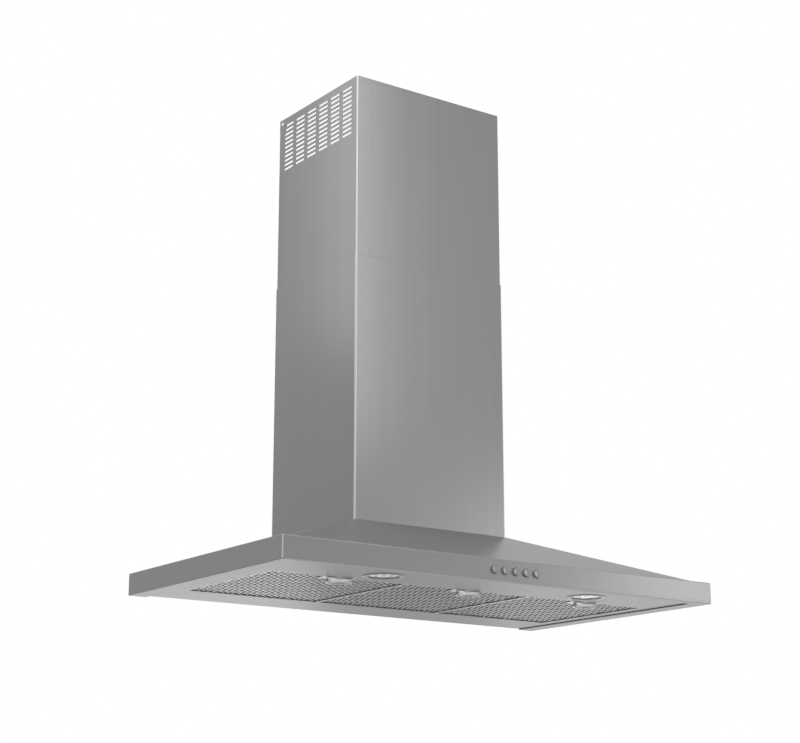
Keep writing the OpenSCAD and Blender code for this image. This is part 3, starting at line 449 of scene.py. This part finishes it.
def punched_cell(cx):
    """Flat sheet between a rectangle of the rim and a button's round hole: ring after ring, the points pass
    from the rectangle's edge to the circle, each side of the rectangle facing a quarter of the circle."""
    t = np.linspace(-1, 1, HOLE_STEPS + 1)[:-1]
    one = np.ones(HOLE_STEPS)
    square = np.concatenate([np.stack(edge, 1) for edge in ((t, -one), (one, t), (-t, one), (-one, -t))])
    box = np.stack([cx + square[:, 0] * BUTTON_PITCH / 2,
                    (z_low + z_high) / 2 + square[:, 1] * (z_high - z_low) / 2], 1)
    ring = [cx, RIM_H / 2] + arc(0, 0, BUTTON_HOLE_R, -135, 225, 4 * HOLE_STEPS)[:-1]
    share = np.array([0, 0.75, 1])[:, None, None]
    flat = box[None] * (1 - share) + ring[None] * share
    grid = np.stack([flat[..., 0], np.full(flat.shape[:2], front_y), flat[..., 1]], 2)
    p, f, _, painted_light = surface(grid, wrap_cols=True)
    return p, f, p[:, [0, 2]] + map_shift, painted_light


parts += [punched_cell(x) for x in button_x]
# The upstand round the opening, inside the chimney, starts a little below the ring.
stand = plan_path(CHIM_W - 2 * UPSTAND_IN, CHIM_D - UPSTAND_IN, UPSTAND_BEND, np.zeros(0), UPSTAND_BACK)
parts.append(surface(drawn_up(stand, (CANOPY_H - UPSTAND_SUNK, CANOPY_H + UPSTAND))))
build("canopy", parts, steel_canopy, "hood", ("canopy_shell",), thick=DRAWN_SHEET)


# Underside panel: a flat stainless sheet that lies on the hemmed flanges, cut out for the three filters and
# the two lamps. Two galvanised angle bars behind it keep it flat, and a galvanised plate screwed to the wall
# carries the hood.
def wear(node_name, material):
    """Gives a CAD piece its finish in all its material places."""
    mesh = nodes[node_name].data
    mesh.materials.clear()
    mesh.materials.append(material)


def galvanised_steel(tone):
    """Hot-dip galvanised sheet: flat crystals of different tone and gloss, from a cell pattern."""
    mat, tree, shader = new_finish("galvanised_steel")
    shader.inputs["Metallic"].default_value = 0.9
    coords = new_node(tree, "ShaderNodeTexCoord")
    crystal = new_node(tree, "ShaderNodeTexVoronoi", {"Scale": 170.0, "Randomness": 1.0})
    cloud = new_node(tree, "ShaderNodeTexNoise", {"Scale": 35.0, "Detail": 5.0, "Roughness": 0.6})
    tree.links.new(coords.outputs["Object"], crystal.inputs["Vector"])
    tree.links.new(coords.outputs["Object"], cloud.inputs["Vector"])
    mixed = new_node(tree, "ShaderNodeMath", operation="ADD")
    split = new_node(tree, "ShaderNodeSeparateColor")
    tree.links.new(crystal.outputs["Color"], split.inputs[0])
    tree.links.new(split.outputs[0], mixed.inputs[0])
    tree.links.new(cloud.outputs[0], mixed.inputs[1])
    shade = rescale(tree, mixed.outputs[0], 0.3, 1.7, tone * 0.84, tone * 1.16)
    colour = times(tree, (0.98, 1.0, 1.02), shade)
    tree.links.new(colour.outputs[0], shader.inputs["Base Color"])
    gloss = rescale(tree, split.outputs[1], 0.0, 1.0, 0.32, 0.5)
    tree.links.new(gloss.outputs[0], shader.inputs["Roughness"])
    emboss(tree, shader, mixed, 0.08, 0.0004)
    return mat


galvanised = galvanised_steel(0.42)
wear("underside_panel", steel_under)
wear("panel_stiffeners", galvanised)
wear("wall_plate", galvanised)


# Chimney covers: two U-shaped stainless sheets, bent at their front corners. The lower one stands on the
# canopy, with its back edges turned in and screwed to the wall plate. The upper one slides inside it, is
# screwed to two galvanised wall brackets, and is slotted for recirculated air.
LOWER_H = 478
UPPER_H = 478
RISE = 342
COVER_GAP = 0.5
PLATE = 1.2
RETURN = 15
RETURN_BEND = 1.6
BEND = 3
BEND_STEPS = 8
LOWER_STOP = -100
# Painted highlights on the covers' front bends, from 0 to 1.
LOWER_COVER_HIGHLIGHT = 0.7
UPPER_COVER_HIGHLIGHT = 0.85
# A thin painted highlight along the lower cover's top edge: how bright, and how tall.
EDGE_HIGHLIGHT = 0.14
EDGE_HIGHLIGHT_H = 0.9
lower_top = CANOPY_H + LOWER_H
upper_top = lower_top + RISE
upper_bottom = upper_top - UPPER_H
SLOT_L = 30
SLOT_H = 4.4
SLOT_PITCH_Y = 40
SLOT_PITCH_Z = 8.9
SLOT_COLS = 6
SLOT_ROWS = 11
SLOT_TOP = 16


def cover(width, depth, radius, back, heights, side_stops, returns=0):
    """A sheet bent to a U in plan, drawn up through the heights: side_stops are the y places of the points
    along both sides, and returns turns the back edges in by that width."""
    w, d, r = width / 2, depth, radius
    stops = np.array(sorted(side_stops, reverse=True), float)
    left = np.stack([np.full(len(stops), -w), stops], 1)
    right = np.stack([np.full(len(stops), w), stops[::-1]], 1)
    front = [arc(-w + r, -d + r, r, 180, 270, BEND_STEPS), arc(w - r, -d + r, r, 270, 360, BEND_STEPS)]
    end = np.array([[-w, -back]], float)
    if returns:
        turn = arc(-w + RETURN_BEND, -back - RETURN_BEND, RETURN_BEND, 90, 180, 4)
        end = np.concatenate([[[-w + returns, -back]], turn])
    path = np.concatenate([end, left] + front + [right, end[::-1] * [-1, 1]])
    return drawn_up(path, heights), path


def on_bend(path, width, depth, radius):
    """1 for the points of a cover's plan that lie on its two front bends, and 0 for the rest."""
    beside = np.abs(path[:, 0]) > width / 2 - radius + 0.01
    before = path[:, 1] < -depth + radius - 0.01
    return (beside & before).astype(float)[None]


# The lower cover's top edge gets a thin painted highlight on its last rows of points.
lower_z = (CANOPY_H, lower_top - EDGE_HIGHLIGHT_H - 0.05, lower_top - EDGE_HIGHLIGHT_H, lower_top)
lower_grid, lower_path = cover(CHIM_W, CHIM_D, BEND, PLATE, lower_z, (LOWER_STOP,), RETURN)
top_edge = EDGE_HIGHLIGHT * np.array([0, 0, 1, 1])[:, None]
lower_highlight = np.maximum(LOWER_COVER_HIGHLIGHT * on_bend(lower_path, CHIM_W, CHIM_D, BEND), top_edge)
build("lower_chimney", [surface(lower_grid, painted_light=lower_highlight)],
      steel_covers, "hood", ("lower_cover",), thick=SHEET)

upper_w = CHIM_W - 2 * (SHEET + COVER_GAP)
upper_d = CHIM_D - SHEET - COVER_GAP
upper_bend = BEND - SHEET
slot_y = -CHIM_D / 2 + (np.arange(SLOT_COLS) - (SLOT_COLS - 1) / 2) * SLOT_PITCH_Y
slot_z = upper_top - SLOT_TOP - np.arange(SLOT_ROWS) * SLOT_PITCH_Z
y_stops = np.concatenate([slot_y - SLOT_L / 2, slot_y + SLOT_L / 2])
z_stops = np.concatenate([[upper_bottom, upper_top], slot_z - SLOT_H / 2, slot_z + SLOT_H / 2])
upper_back = PLATE + SHEET + COVER_GAP
upper_grid, upper_path = cover(upper_w, upper_d, upper_bend, upper_back, np.sort(z_stops), y_stops)
mid_z = (upper_grid[1:, 0, 2] + upper_grid[:-1, 0, 2]) / 2
mid_y = (upper_path[1:, 1] + upper_path[:-1, 1]) / 2
at_side = np.abs(upper_path[:, 0]) > upper_w / 2 - 0.01
on_side = at_side[1:] & at_side[:-1]
in_slot_y = (np.abs(mid_y[:, None] - slot_y[None]).min(1) < SLOT_L / 2) & on_side
in_slot_z = np.abs(mid_z[:, None] - slot_z[None]).min(1) < SLOT_H / 2
# The upper cover's front bends get a painted highlight.
upper_highlight = UPPER_COVER_HIGHLIGHT * on_bend(upper_path, upper_w, upper_d, upper_bend)
uncut = ~(in_slot_z[:, None] & in_slot_y[None, :])
build("upper_chimney", [surface(upper_grid, keep=uncut, painted_light=upper_highlight)],
      steel_covers, "chimney_top", ("upper_cover",), thick=SHEET)


def plain_metal(name, base, rough, scale=400.0, spread=0.08, relief=0.05, metallic=1.0):
    """A metal with a fine even surface: a noise changes its tone, its gloss and its relief a little."""
    mat, tree, shader = new_finish(name)
    shader.inputs["Metallic"].default_value = metallic
    coords = new_node(tree, "ShaderNodeTexCoord")
    noise = new_node(tree, "ShaderNodeTexNoise", {"Scale": scale, "Detail": 4.0, "Roughness": 0.6})
    tree.links.new(coords.outputs["Object"], noise.inputs["Vector"])
    colour = times(tree, base, rescale(tree, noise.outputs[0], 0.3, 0.7, 1 - spread, 1 + spread))
    tree.links.new(colour.outputs[0], shader.inputs["Base Color"])
    gloss = rescale(tree, noise.outputs[0], 0.3, 0.7, rough * 0.85, rough * 1.15)
    tree.links.new(gloss.outputs[0], shader.inputs["Roughness"])
    emboss(tree, shader, noise, relief, 0.0003)
    return mat


def turned(profile, centre, axis, steps=32, carve=None):
    """A profile of (radius, height) turned about an axis through the centre: each of its points becomes a
    ring of points spread evenly round the axis. carve gives how deep a point is sunk, from where it lies
    across the axis."""
    axis = np.array(axis, float)
    u = np.cross(axis, [0, 0, 1] if abs(axis[2]) < 0.5 else [0, 1, 0])
    v = np.cross(axis, u)
    angle = np.linspace(0, 2 * math.pi, steps, endpoint=False)
    radius, height = np.asarray(profile, float).T[:, :, None]
    x, y = radius * np.cos(angle), radius * np.sin(angle)
    height = np.broadcast_to(height, x.shape)
    if carve is not None:
        height = height - carve(x, y)
    points = np.asarray(centre, float) + x[..., None] * u + y[..., None] * v + height[..., None] * axis
    return surface(points, wrap_cols=True)


SCREW_R = 2
HEAD_R = 3.6
HEAD_H = 1.4
FACE_RINGS = 9


def screw(centre, axis, length, tall=HEAD_H):
    """Pan-head screw: shank, flat seat, a head that rises as a quarter ellipse, and a cross-shaped recess,
    whose wings are the points near one of two crossing lines and whose depth grows to the middle."""
    bend = np.radians(np.linspace(0, 90, 6))
    crown = np.stack([HEAD_R * (0.62 + 0.38 * np.cos(bend)), tall * (0.35 + 0.65 * np.sin(bend))], 1)
    flat = np.stack([HEAD_R * np.linspace(0.58, 0, FACE_RINGS), np.full(FACE_RINGS, tall)], 1)
    stem = [[0, -length], [SCREW_R * 0.7, -length], [SCREW_R, -length + 0.4], [SCREW_R, 0], [HEAD_R, 0]]
    profile = np.concatenate([stem, crown, flat])

    def recess(x, y):
        wing = np.minimum(np.abs(x), np.abs(y)) < HEAD_R * 0.15
        reach = np.hypot(x, y) / (HEAD_R * 0.56)
        top = np.arange(len(profile))[:, None] >= len(profile) - FACE_RINGS
        return np.where(wing & top & (reach < 1), tall * 0.7 * np.clip(1.6 * (1 - reach), 0, 1), 0)

    return turned(profile, centre, axis, 40, recess)


zinc = plain_metal("zinc_plating", (0.55, 0.56, 0.57), 0.28)
FLAT_HEAD_H = 0.9
EDGE = 9
PLATE_TOP = 400
TONGUE_GAP = 4
SIDE_SCREW_Y = -12
SIDE_SCREW_DOWN = 8.5
SIDE_SCREW_GAP = 0.25
pan_x = CHIM_W / 2 - SHEET - TONGUE_GAP - HEAD_R
build("pan_screws", [screw((x, -PLATE - SHEET, z), (0, -1, 0), PLATE + SHEET)
                     for x in (-pan_x, pan_x) for z in (CANOPY_H + UPSTAND + EDGE, PLATE_TOP - EDGE)],
      zinc, "hood", ("lower_cover_screws",), turn_out=True)
side_length = 2 * SHEET + SIDE_SCREW_GAP + PLATE
side_z = upper_top - SIDE_SCREW_DOWN
build("side_screws", [screw((x * upper_w / 2, SIDE_SCREW_Y, side_z), (x, 0, 0), side_length, FLAT_HEAD_H)
                      for x in (-1, 1)],
      zinc, "chimney_top", ("upper_cover_screws",), turn_out=True)
wear("upper_cover_brackets", galvanised)


# Grease filters: an aluminium channel frame round a pack of wavy aluminium strands, which cross each other
# over and under in several layers. Two tabs at the back and a latch at the front hold each one up.
SIDE_MARGIN = 55.5
FRONT_MARGIN = 121
BACK_MARGIN = 97.5
FILTER_GAP = 1
FILTER_PLAY = 1
BACK_PLAY = 1.5
FRAME_SKIN = 1.3
open_w = HOOD_W - 2 * SIDE_MARGIN
filter_w = (open_w - 2 * FILTER_PLAY - 2 * FILTER_GAP) / 3
filter_pitch = filter_w + FILTER_GAP
filter_front = -HOOD_D + FRONT_MARGIN + FILTER_PLAY
filter_back = -BACK_MARGIN - BACK_PLAY
NOTCH_W = 60.5
NOTCH_D = 26.2
SHORTEST = 0.15
MESH_Z = 3.95
MESH_WAVE = 0.35
INNER_WAVE = 0.5
MESH_SAMPLES = 6
INNER_SAMPLES = 3

# The strands' tone is painted: a dark base, painted shade, raised towards 0.52 by each point's painted light.
aluminium_strand = steel("aluminium_strand", (0.06, 0.06, 0.06), (700, 700, 700), rough=0.3, streak=0.08,
                         tint=1.0, painted_bright=0.52)
aluminium_frame = steel("aluminium_channel", (0.42, 0.42, 0.42), (12, 900, 900), rough=0.3, streak=0.05,
                        tint=1.0)


def span(start, along, low, high):
    """Share of a line, in steps of along, that lies inside a rectangle: the later of its two entries up to
    the earlier of its two exits."""
    t = np.sort(np.stack([(low - start) / along, (high - start) / along]), axis=0)
    return t[0].max(), t[1].min()


def strands(along, step, low, high, middle_z, wave, section, phase, shift, samples, bright):
    """Wavy strands side by side across a rectangle, cut off at its edges and round the latch's plate. Strand
    k starts k steps from the middle; its height is middle_z + wave * cos(pi * n), where n counts the
    crossings, turned over for every other strand. samples is its points per crossing, and bright gives its
    painted light between its crossings and at them, painted brighter at the crossings as a painted highlight."""
    side = np.array([-along[1], along[0]]) / np.linalg.norm(along)
    centre = (low + high) / 2
    count = int(np.linalg.norm(high - low) / 2 / abs(step @ side)) + 1
    notch_low = np.array([centre[0] - NOTCH_W / 2, low[1] - 1])
    notch_high = np.array([centre[0] + NOTCH_W / 2, low[1] + NOTCH_D])
    result = []
    for k in range(-count, count + 1):
        start = centre + step * k + shift
        enter, leave = span(start, along, low, high)
        cut_in, cut_out = span(start, along, notch_low, notch_high)
        spans = [(enter, leave)]
        if cut_in < cut_out:
            spans = [(enter, min(cut_in, leave)), (max(cut_out, enter), leave)]
        for a, b in spans:
            if b - a < SHORTEST:
                continue
            s = np.arange(math.ceil(a * samples), math.floor(b * samples) + 1) / samples
            s = np.concatenate([[a, a], s[(s > a + 0.02) & (s < b - 0.02)], [b, b]])
            height = middle_z + wave * np.cos(math.pi * (s + k + phase))
            core = np.column_stack([start + s[:, None] * along, height])
            ring = core[:, None] + section[:, :1] * np.append(side, 0) + section[:, 1:] * [0, 0, 1]
            for end in (0, -1):
                ring[end] = core[end] + (ring[end] - core[end]) * 0.02
            shine = bright[0] + (bright[1] - bright[0]) * (0.5 + 0.5 * np.cos(2 * math.pi * s)) ** 2
            result.append(surface(ring, wrap_cols=True, flip=True, painted_light=shine[:, None]))
    return result


def ribbon(width):
    """Section of a slit and stretched strand: flat below, its edges broken, ridged above."""
    half, rise, edge = width / 2, 0.4, 0.05
    return np.array([[-half, edge], [-half + rise, -rise], [half - rise, -rise], [half, edge], [0, rise]])


def wire(width):
    """Section of a strand further in: a flat rhombus."""
    return np.array([[-width / 2, 0], [0, -0.35], [width / 2, 0], [0, 0.35]])


def lattice(line_a, gap_a, line_b, gap_b):
    """Crossing steps of two families of strands from their directions in degrees and their gaps: a step along
    one family is the other's gap over the sine of the angle between them."""
    a, b = math.radians(line_a), math.radians(line_b)
    turn = math.sin(math.radians(line_b - line_a))
    return (np.array([math.cos(a), math.sin(a)]) * gap_b / turn,
            np.array([math.cos(b), math.sin(b)]) * gap_a / turn)


# For each filter: its lattice, width and painted light of the two families in front, and painted light and
# width of the strands behind them. Then the inner layers' heights, and their shifts as shares of the two
# steps. The strands'
# tone is painted light and shade: the left filter is painted brighter than the others as a painted
# reflection, and the strands behind are painted brighter as painted light in their shade.
STRETCH = ((lattice(41, 10.7, 76, 9.3), (3.9, 0.1, 0.34), (3.9, 0.1, 0.34), (0.32, 0.38), 5.0),
           (lattice(42, 10.2, 69, 9.35), (1.4, 0.02, 0.05), (5.6, 0.06, 0.1), (0.16, 0.22), 5.4),
           (lattice(42, 10.2, 69, 9.35), (1.4, 0.02, 0.05), (5.4, 0.05, 0.09), (0.14, 0.19), 5.4))
INNER_LAYERS = ((5.2, 0.62, 0.6), (6.9, 0.2, 0.25), (8.4, 0.7, 0.6))
for index, side_name in enumerate(("left", "centre", "right")):
    middle = (index - 1) * filter_pitch
    low_xy = np.array([middle - filter_w / 2 + FRAME_SKIN, filter_front + FRAME_SKIN])
    high_xy = np.array([middle + filter_w / 2 - FRAME_SKIN, filter_back - FRAME_SKIN])
    pack = []
    (step_a, step_b), front_a, front_b, inner_bright, inner_w = STRETCH[index]
    for family, (along, step, front) in enumerate(((step_a, step_b, front_a), (step_b, step_a, front_b))):
        pack += strands(along, step, low_xy, high_xy, MESH_Z, MESH_WAVE, ribbon(front[0]), family,
                        np.zeros(2), MESH_SAMPLES, front[1:])
        for level_z, share_a, share_b in INNER_LAYERS:
            pack += strands(along, step, low_xy, high_xy, level_z, INNER_WAVE, wire(inner_w), family,
                            share_a * step_a + share_b * step_b, INNER_SAMPLES, inner_bright)
    build(side_name + "_strands", pack, aluminium_strand, side_name + "_filter",
          (side_name + "_filter_mesh",), crease=20, merge=0.001)
    wear(side_name + "_filter_frame", aluminium_frame)


# Latches: a chromed half-moon grip under each filter's front is pulled back by a finger. It carries a leaf of
# spring steel, whose nose lies over the panel's edge and holds the filter up.
chrome = plain_metal("bright_chrome", (0.72, 0.72, 0.72), 0.2, 300.0, 0.03, 0.02)
spring_steel = plain_metal("spring_steel", (0.34, 0.35, 0.37), 0.3, 700.0)
for side_name in ("left", "centre", "right"):
    wear(side_name + "_latch_grip", chrome)
    wear(side_name + "_latch_nose", spring_steel)


# Lamps: a satin nickel bezel round a frosted glass, pressed into the panel from below. Behind it sit the
# board of light diodes and a housing of cast aluminium, which takes their heat away.
cast = plain_metal("cast_aluminium", (0.36, 0.365, 0.37), 0.5, 250.0, 0.12, 0.25)
glass, tree, shader = new_finish("frosted_glass")
shader.inputs["Base Color"].default_value = (0.3, 0.3, 0.295, 1)
shader.inputs["Transmission Weight"].default_value = 0.35
shader.inputs["Coat Weight"].default_value = 0.6
shader.inputs["Coat Roughness"].default_value = 0.05
shader.inputs["IOR"].default_value = 1.5
coords = new_node(tree, "ShaderNodeTexCoord")
noise = new_node(tree, "ShaderNodeTexNoise", {"Scale": 900.0, "Detail": 3.0, "Roughness": 0.6})
tree.links.new(coords.outputs["Object"], noise.inputs["Vector"])
gloss = rescale(tree, noise.outputs[0], 0.3, 0.7, 0.1, 0.2)
tree.links.new(gloss.outputs[0], shader.inputs["Roughness"])


def moulded(name, base, rough):
    """Moulded plastic or enamel: a fine even grain with a little change of tone and gloss."""
    return plain_metal(name, base, rough, scale=600.0, spread=0.06, relief=0.15, metallic=0.0)


LAMP_PITCH = 429
LAMP_HOLE_R = 29.5
BEZEL_R = 34.5
LENS_RINGS = 22
lamp_y = (-HOOD_D + FRONT_MARGIN - HOOD_D + FRONT_FLANGE) / 2
inner_r = LAMP_HOLE_R - 3.5
neck_r = LAMP_HOLE_R - 0.25
# Bezel section: neck, seat on the panel, rounded outer edge, a shallow groove and the step down to the lens.
bezel_line = [(inner_r, 4), (neck_r - 1, 4), (neck_r - 1, 8), (neck_r, 8), (neck_r, 2), (BEZEL_R, 2),
              (BEZEL_R, 1.6), (BEZEL_R - 0.35, 1.15), (BEZEL_R - 1.2, 0.85), (BEZEL_R - 2.2, 0.8),
              (BEZEL_R - 2.7, 0.98), (BEZEL_R - 3.4, 1.02), (BEZEL_R - 4.0, 0.84), (inner_r + 2.2, 0.8),
              (inner_r + 0.9, 0.92), (inner_r + 0.2, 1.3), (inner_r, 1.8), (inner_r, 4)]
lens_r = inner_r - 0.25
lens_back = [(0, -4), (lens_r, -4), (lens_r, -2.75)]
lens_line = lens_back + [(lens_r * k / LENS_RINGS, -2.6) for k in range(LENS_RINGS, -1, -1)]


def lens_domes(x, y):
    """Seven small domes in the glass, one in the middle and six round it, each a raised cosine that stands
    out by 0.9 mm, and fine rings between them."""
    r = np.hypot(x, y)
    face = np.arange(len(lens_line))[:, None] >= len(lens_back)
    spots = np.concatenate([[[0, 0]], arc(0, 0, 0.6 * lens_r, 0, 300, 5)])
    away = np.min([np.hypot(x - cx, y - cy) for cx, cy in spots], axis=0) / (0.27 * lens_r)
    dome = np.where(away < 1, 0.45 * (1 + np.cos(math.pi * np.clip(away, 0, 1))), 0)
    return np.where(face & (r < 0.97 * lens_r), -dome - 0.03 * (away > 1) * np.cos(r * 4), 0)


satin = plain_metal("satin_nickel", (0.2, 0.2, 0.2), 0.36, 500.0, 0.05, 0.03)
board = moulded("board_green", (0.02, 0.11, 0.05), 0.4)
for side_name, lamp_x in (("left", -LAMP_PITCH / 2), ("right", LAMP_PITCH / 2)):
    at = (lamp_x, lamp_y, 0)
    build(side_name + "_bezel", [turned(bezel_line, at, (0, 0, 1), 96)], satin, "hood",
          (side_name + "_lamp_bezel",), turn_out=True, crease=40)
    build(side_name + "_lens", [turned(lens_line, at, (0, 0, -1), 120, lens_domes)], glass, "hood",
          (side_name + "_lamp_lens",), turn_out=True, crease=60)
    wear(side_name + "_lamp_housing", cast)
wear("led_boards", board)


# Buttons: five caps of turned steel stand out of the rim's holes. Each slides in a bore of the moulded guide
# behind the rim, and its stem presses a switch on the board that the guide's posts hold.
BUTTON_R = 6
BUTTON_OUT = 4
BUTTON_IN = 3.4
STEM_R = 3.5
STEM_L = 12
CAP_SIDES = 64
# How bright the painted light on the caps' walls is, from 0 to 1.
CAP_WALL_LIGHT = 0.9
cap_l = BUTTON_OUT + SHEET + BUTTON_IN
# Cap section: a dish, a rounded edge, the straight wall, and the stem behind it.
cap_line = [(0, 0.24), (1.6, 0.22), (3.0, 0.16), (4.2, 0.05), (4.7, 0.01), (5.1, 0), (5.5, 0.12), (5.8, 0.42),
            (BUTTON_R, 0.9), (BUTTON_R, cap_l), (STEM_R, cap_l), (STEM_R, cap_l + STEM_L),
            (0, cap_l + STEM_L)]
# The cap's wall, from its rounded edge back, is painted brighter: painted light that lifts the wall's shade.
wall_bright = np.repeat([CAP_WALL_LIGHT * (height >= 0.8) for _, height in cap_line], CAP_SIDES)
cap_steel = steel("turned_steel", (0.215, 0.215, 0.215), (6, 1800, 1), rough=0.26, streak=0.05, by_map=True)
black_plastic = moulded("black_moulding", (0.02, 0.02, 0.021), 0.5)
for name, x in zip(("off", "low", "medium", "high", "light"), button_x):
    cap = turned(cap_line, (x, -HOOD_D - BUTTON_OUT, RIM_H / 2), (0, 1, 0), CAP_SIDES)
    build(name + "_cap", [cap[:3] + (wall_bright,)], cap_steel, name + "_key",
          (name + "_button",), turn_out=True, crease=40)
wear("button_guide", black_plastic)
wear("switch_board", board)


# Blower: a galvanised scroll housing stands on two rails across the opening in the canopy's top. Its
# squirrel-cage wheel turns on the shaft of an enamelled motor, which a bracket's four arms hold in the left
# inlet.
motor_enamel = moulded("motor_enamel", (0.05, 0.052, 0.055), 0.35)
for name in ("blower_rails", "scroll_wrapper", "left_scroll_cheek", "right_scroll_cheek", "left_inlet_ring",
             "right_inlet_ring", "wheel_blades", "wheel_disc", "wheel_rings", "motor_bracket"):
    wear(name, galvanised)
wear("motor_shaft", spring_steel)
wear("motor", motor_enamel)
MOTOR_Y, MOTOR_Z = -105, 230
BRACKET_X = -80.2
BRACKET_R = 75
BRACKET_SCREW_L = 7.2
build("motor_screws", [screw((BRACKET_X, y, z), (-1, 0, 0), BRACKET_SCREW_L)
                       for y, z in arc(MOTOR_Y, MOTOR_Z, BRACKET_R, 45, 315, 3)],
      zinc, "hood", ("bracket_screws",), turn_out=True)


# Duct collar: a galvanised ring with a flange, screwed to the scroll's mouth. Two half-round flaps on a steel
# rod in it open when air rises, and fall shut by themselves.
for name in ("duct_collar", "front_damper_flap", "rear_damper_flap"):
    wear(name, galvanised)


def nut(centre, corner, tall, hole):
    """Six-sided nut: each level is a hexagon, whose radius is its corner's times cos 30 over the cosine of
    the angle from the nearest flat's middle, cut off by a circle that shrinks towards both ends."""
    angle = np.radians(np.arange(0, 360, 7.5))
    hexagon = corner * math.cos(math.pi / 6) / np.cos(np.mod(angle, math.pi / 3) - math.pi / 6)
    levels = ((0, hole), (0, corner * 0.86), (0.3, corner * 0.95), (0.5, corner), (tall - 0.5, corner),
              (tall - 0.3, corner * 0.95), (tall, corner * 0.86), (tall, hole), (0, hole))
    z, limit = np.array(levels).T[:, :, None]
    radius = np.minimum(hexagon, limit)
    grid = np.stack([radius * np.cos(angle), radius * np.sin(angle), np.broadcast_to(z, radius.shape)], 2)
    return surface(grid + centre, wrap_cols=True)


MOUTH_Z = 372
NUT_H = 3.2
FIXING_X = 82.2
FIXING_Y = (-219, -62)
fixings = []
for x in (-FIXING_X, FIXING_X):
    for y in FIXING_Y:
        fixings += [screw((x, y, MOUTH_Z + PLATE), (0, 0, 1), NUT_H + PLATE),
                    nut((x, y, MOUTH_Z - NUT_H), HEAD_R, NUT_H, SCREW_R + 0.05)]
build("flange_screws", fixings, zinc, "hood", ("collar_screws",), turn_out=True)
wear("damper_rod", spring_steel)


# Control box: a galvanised box with a lid on the panel behind the filters. The motor's capacitor lies in it,
# the cord's gland sits in its wall, and the lamps' power supply is fixed to the panel's other side. All three
# are moulded plastic.
white_plastic = moulded("white_moulding", (0.72, 0.72, 0.7), 0.35)
wear("control_box", galvanised)
wear("control_box_lid", galvanised)
wear("run_capacitor", white_plastic)
wear("cord_gland", black_plastic)
wear("lamp_driver", white_plastic)
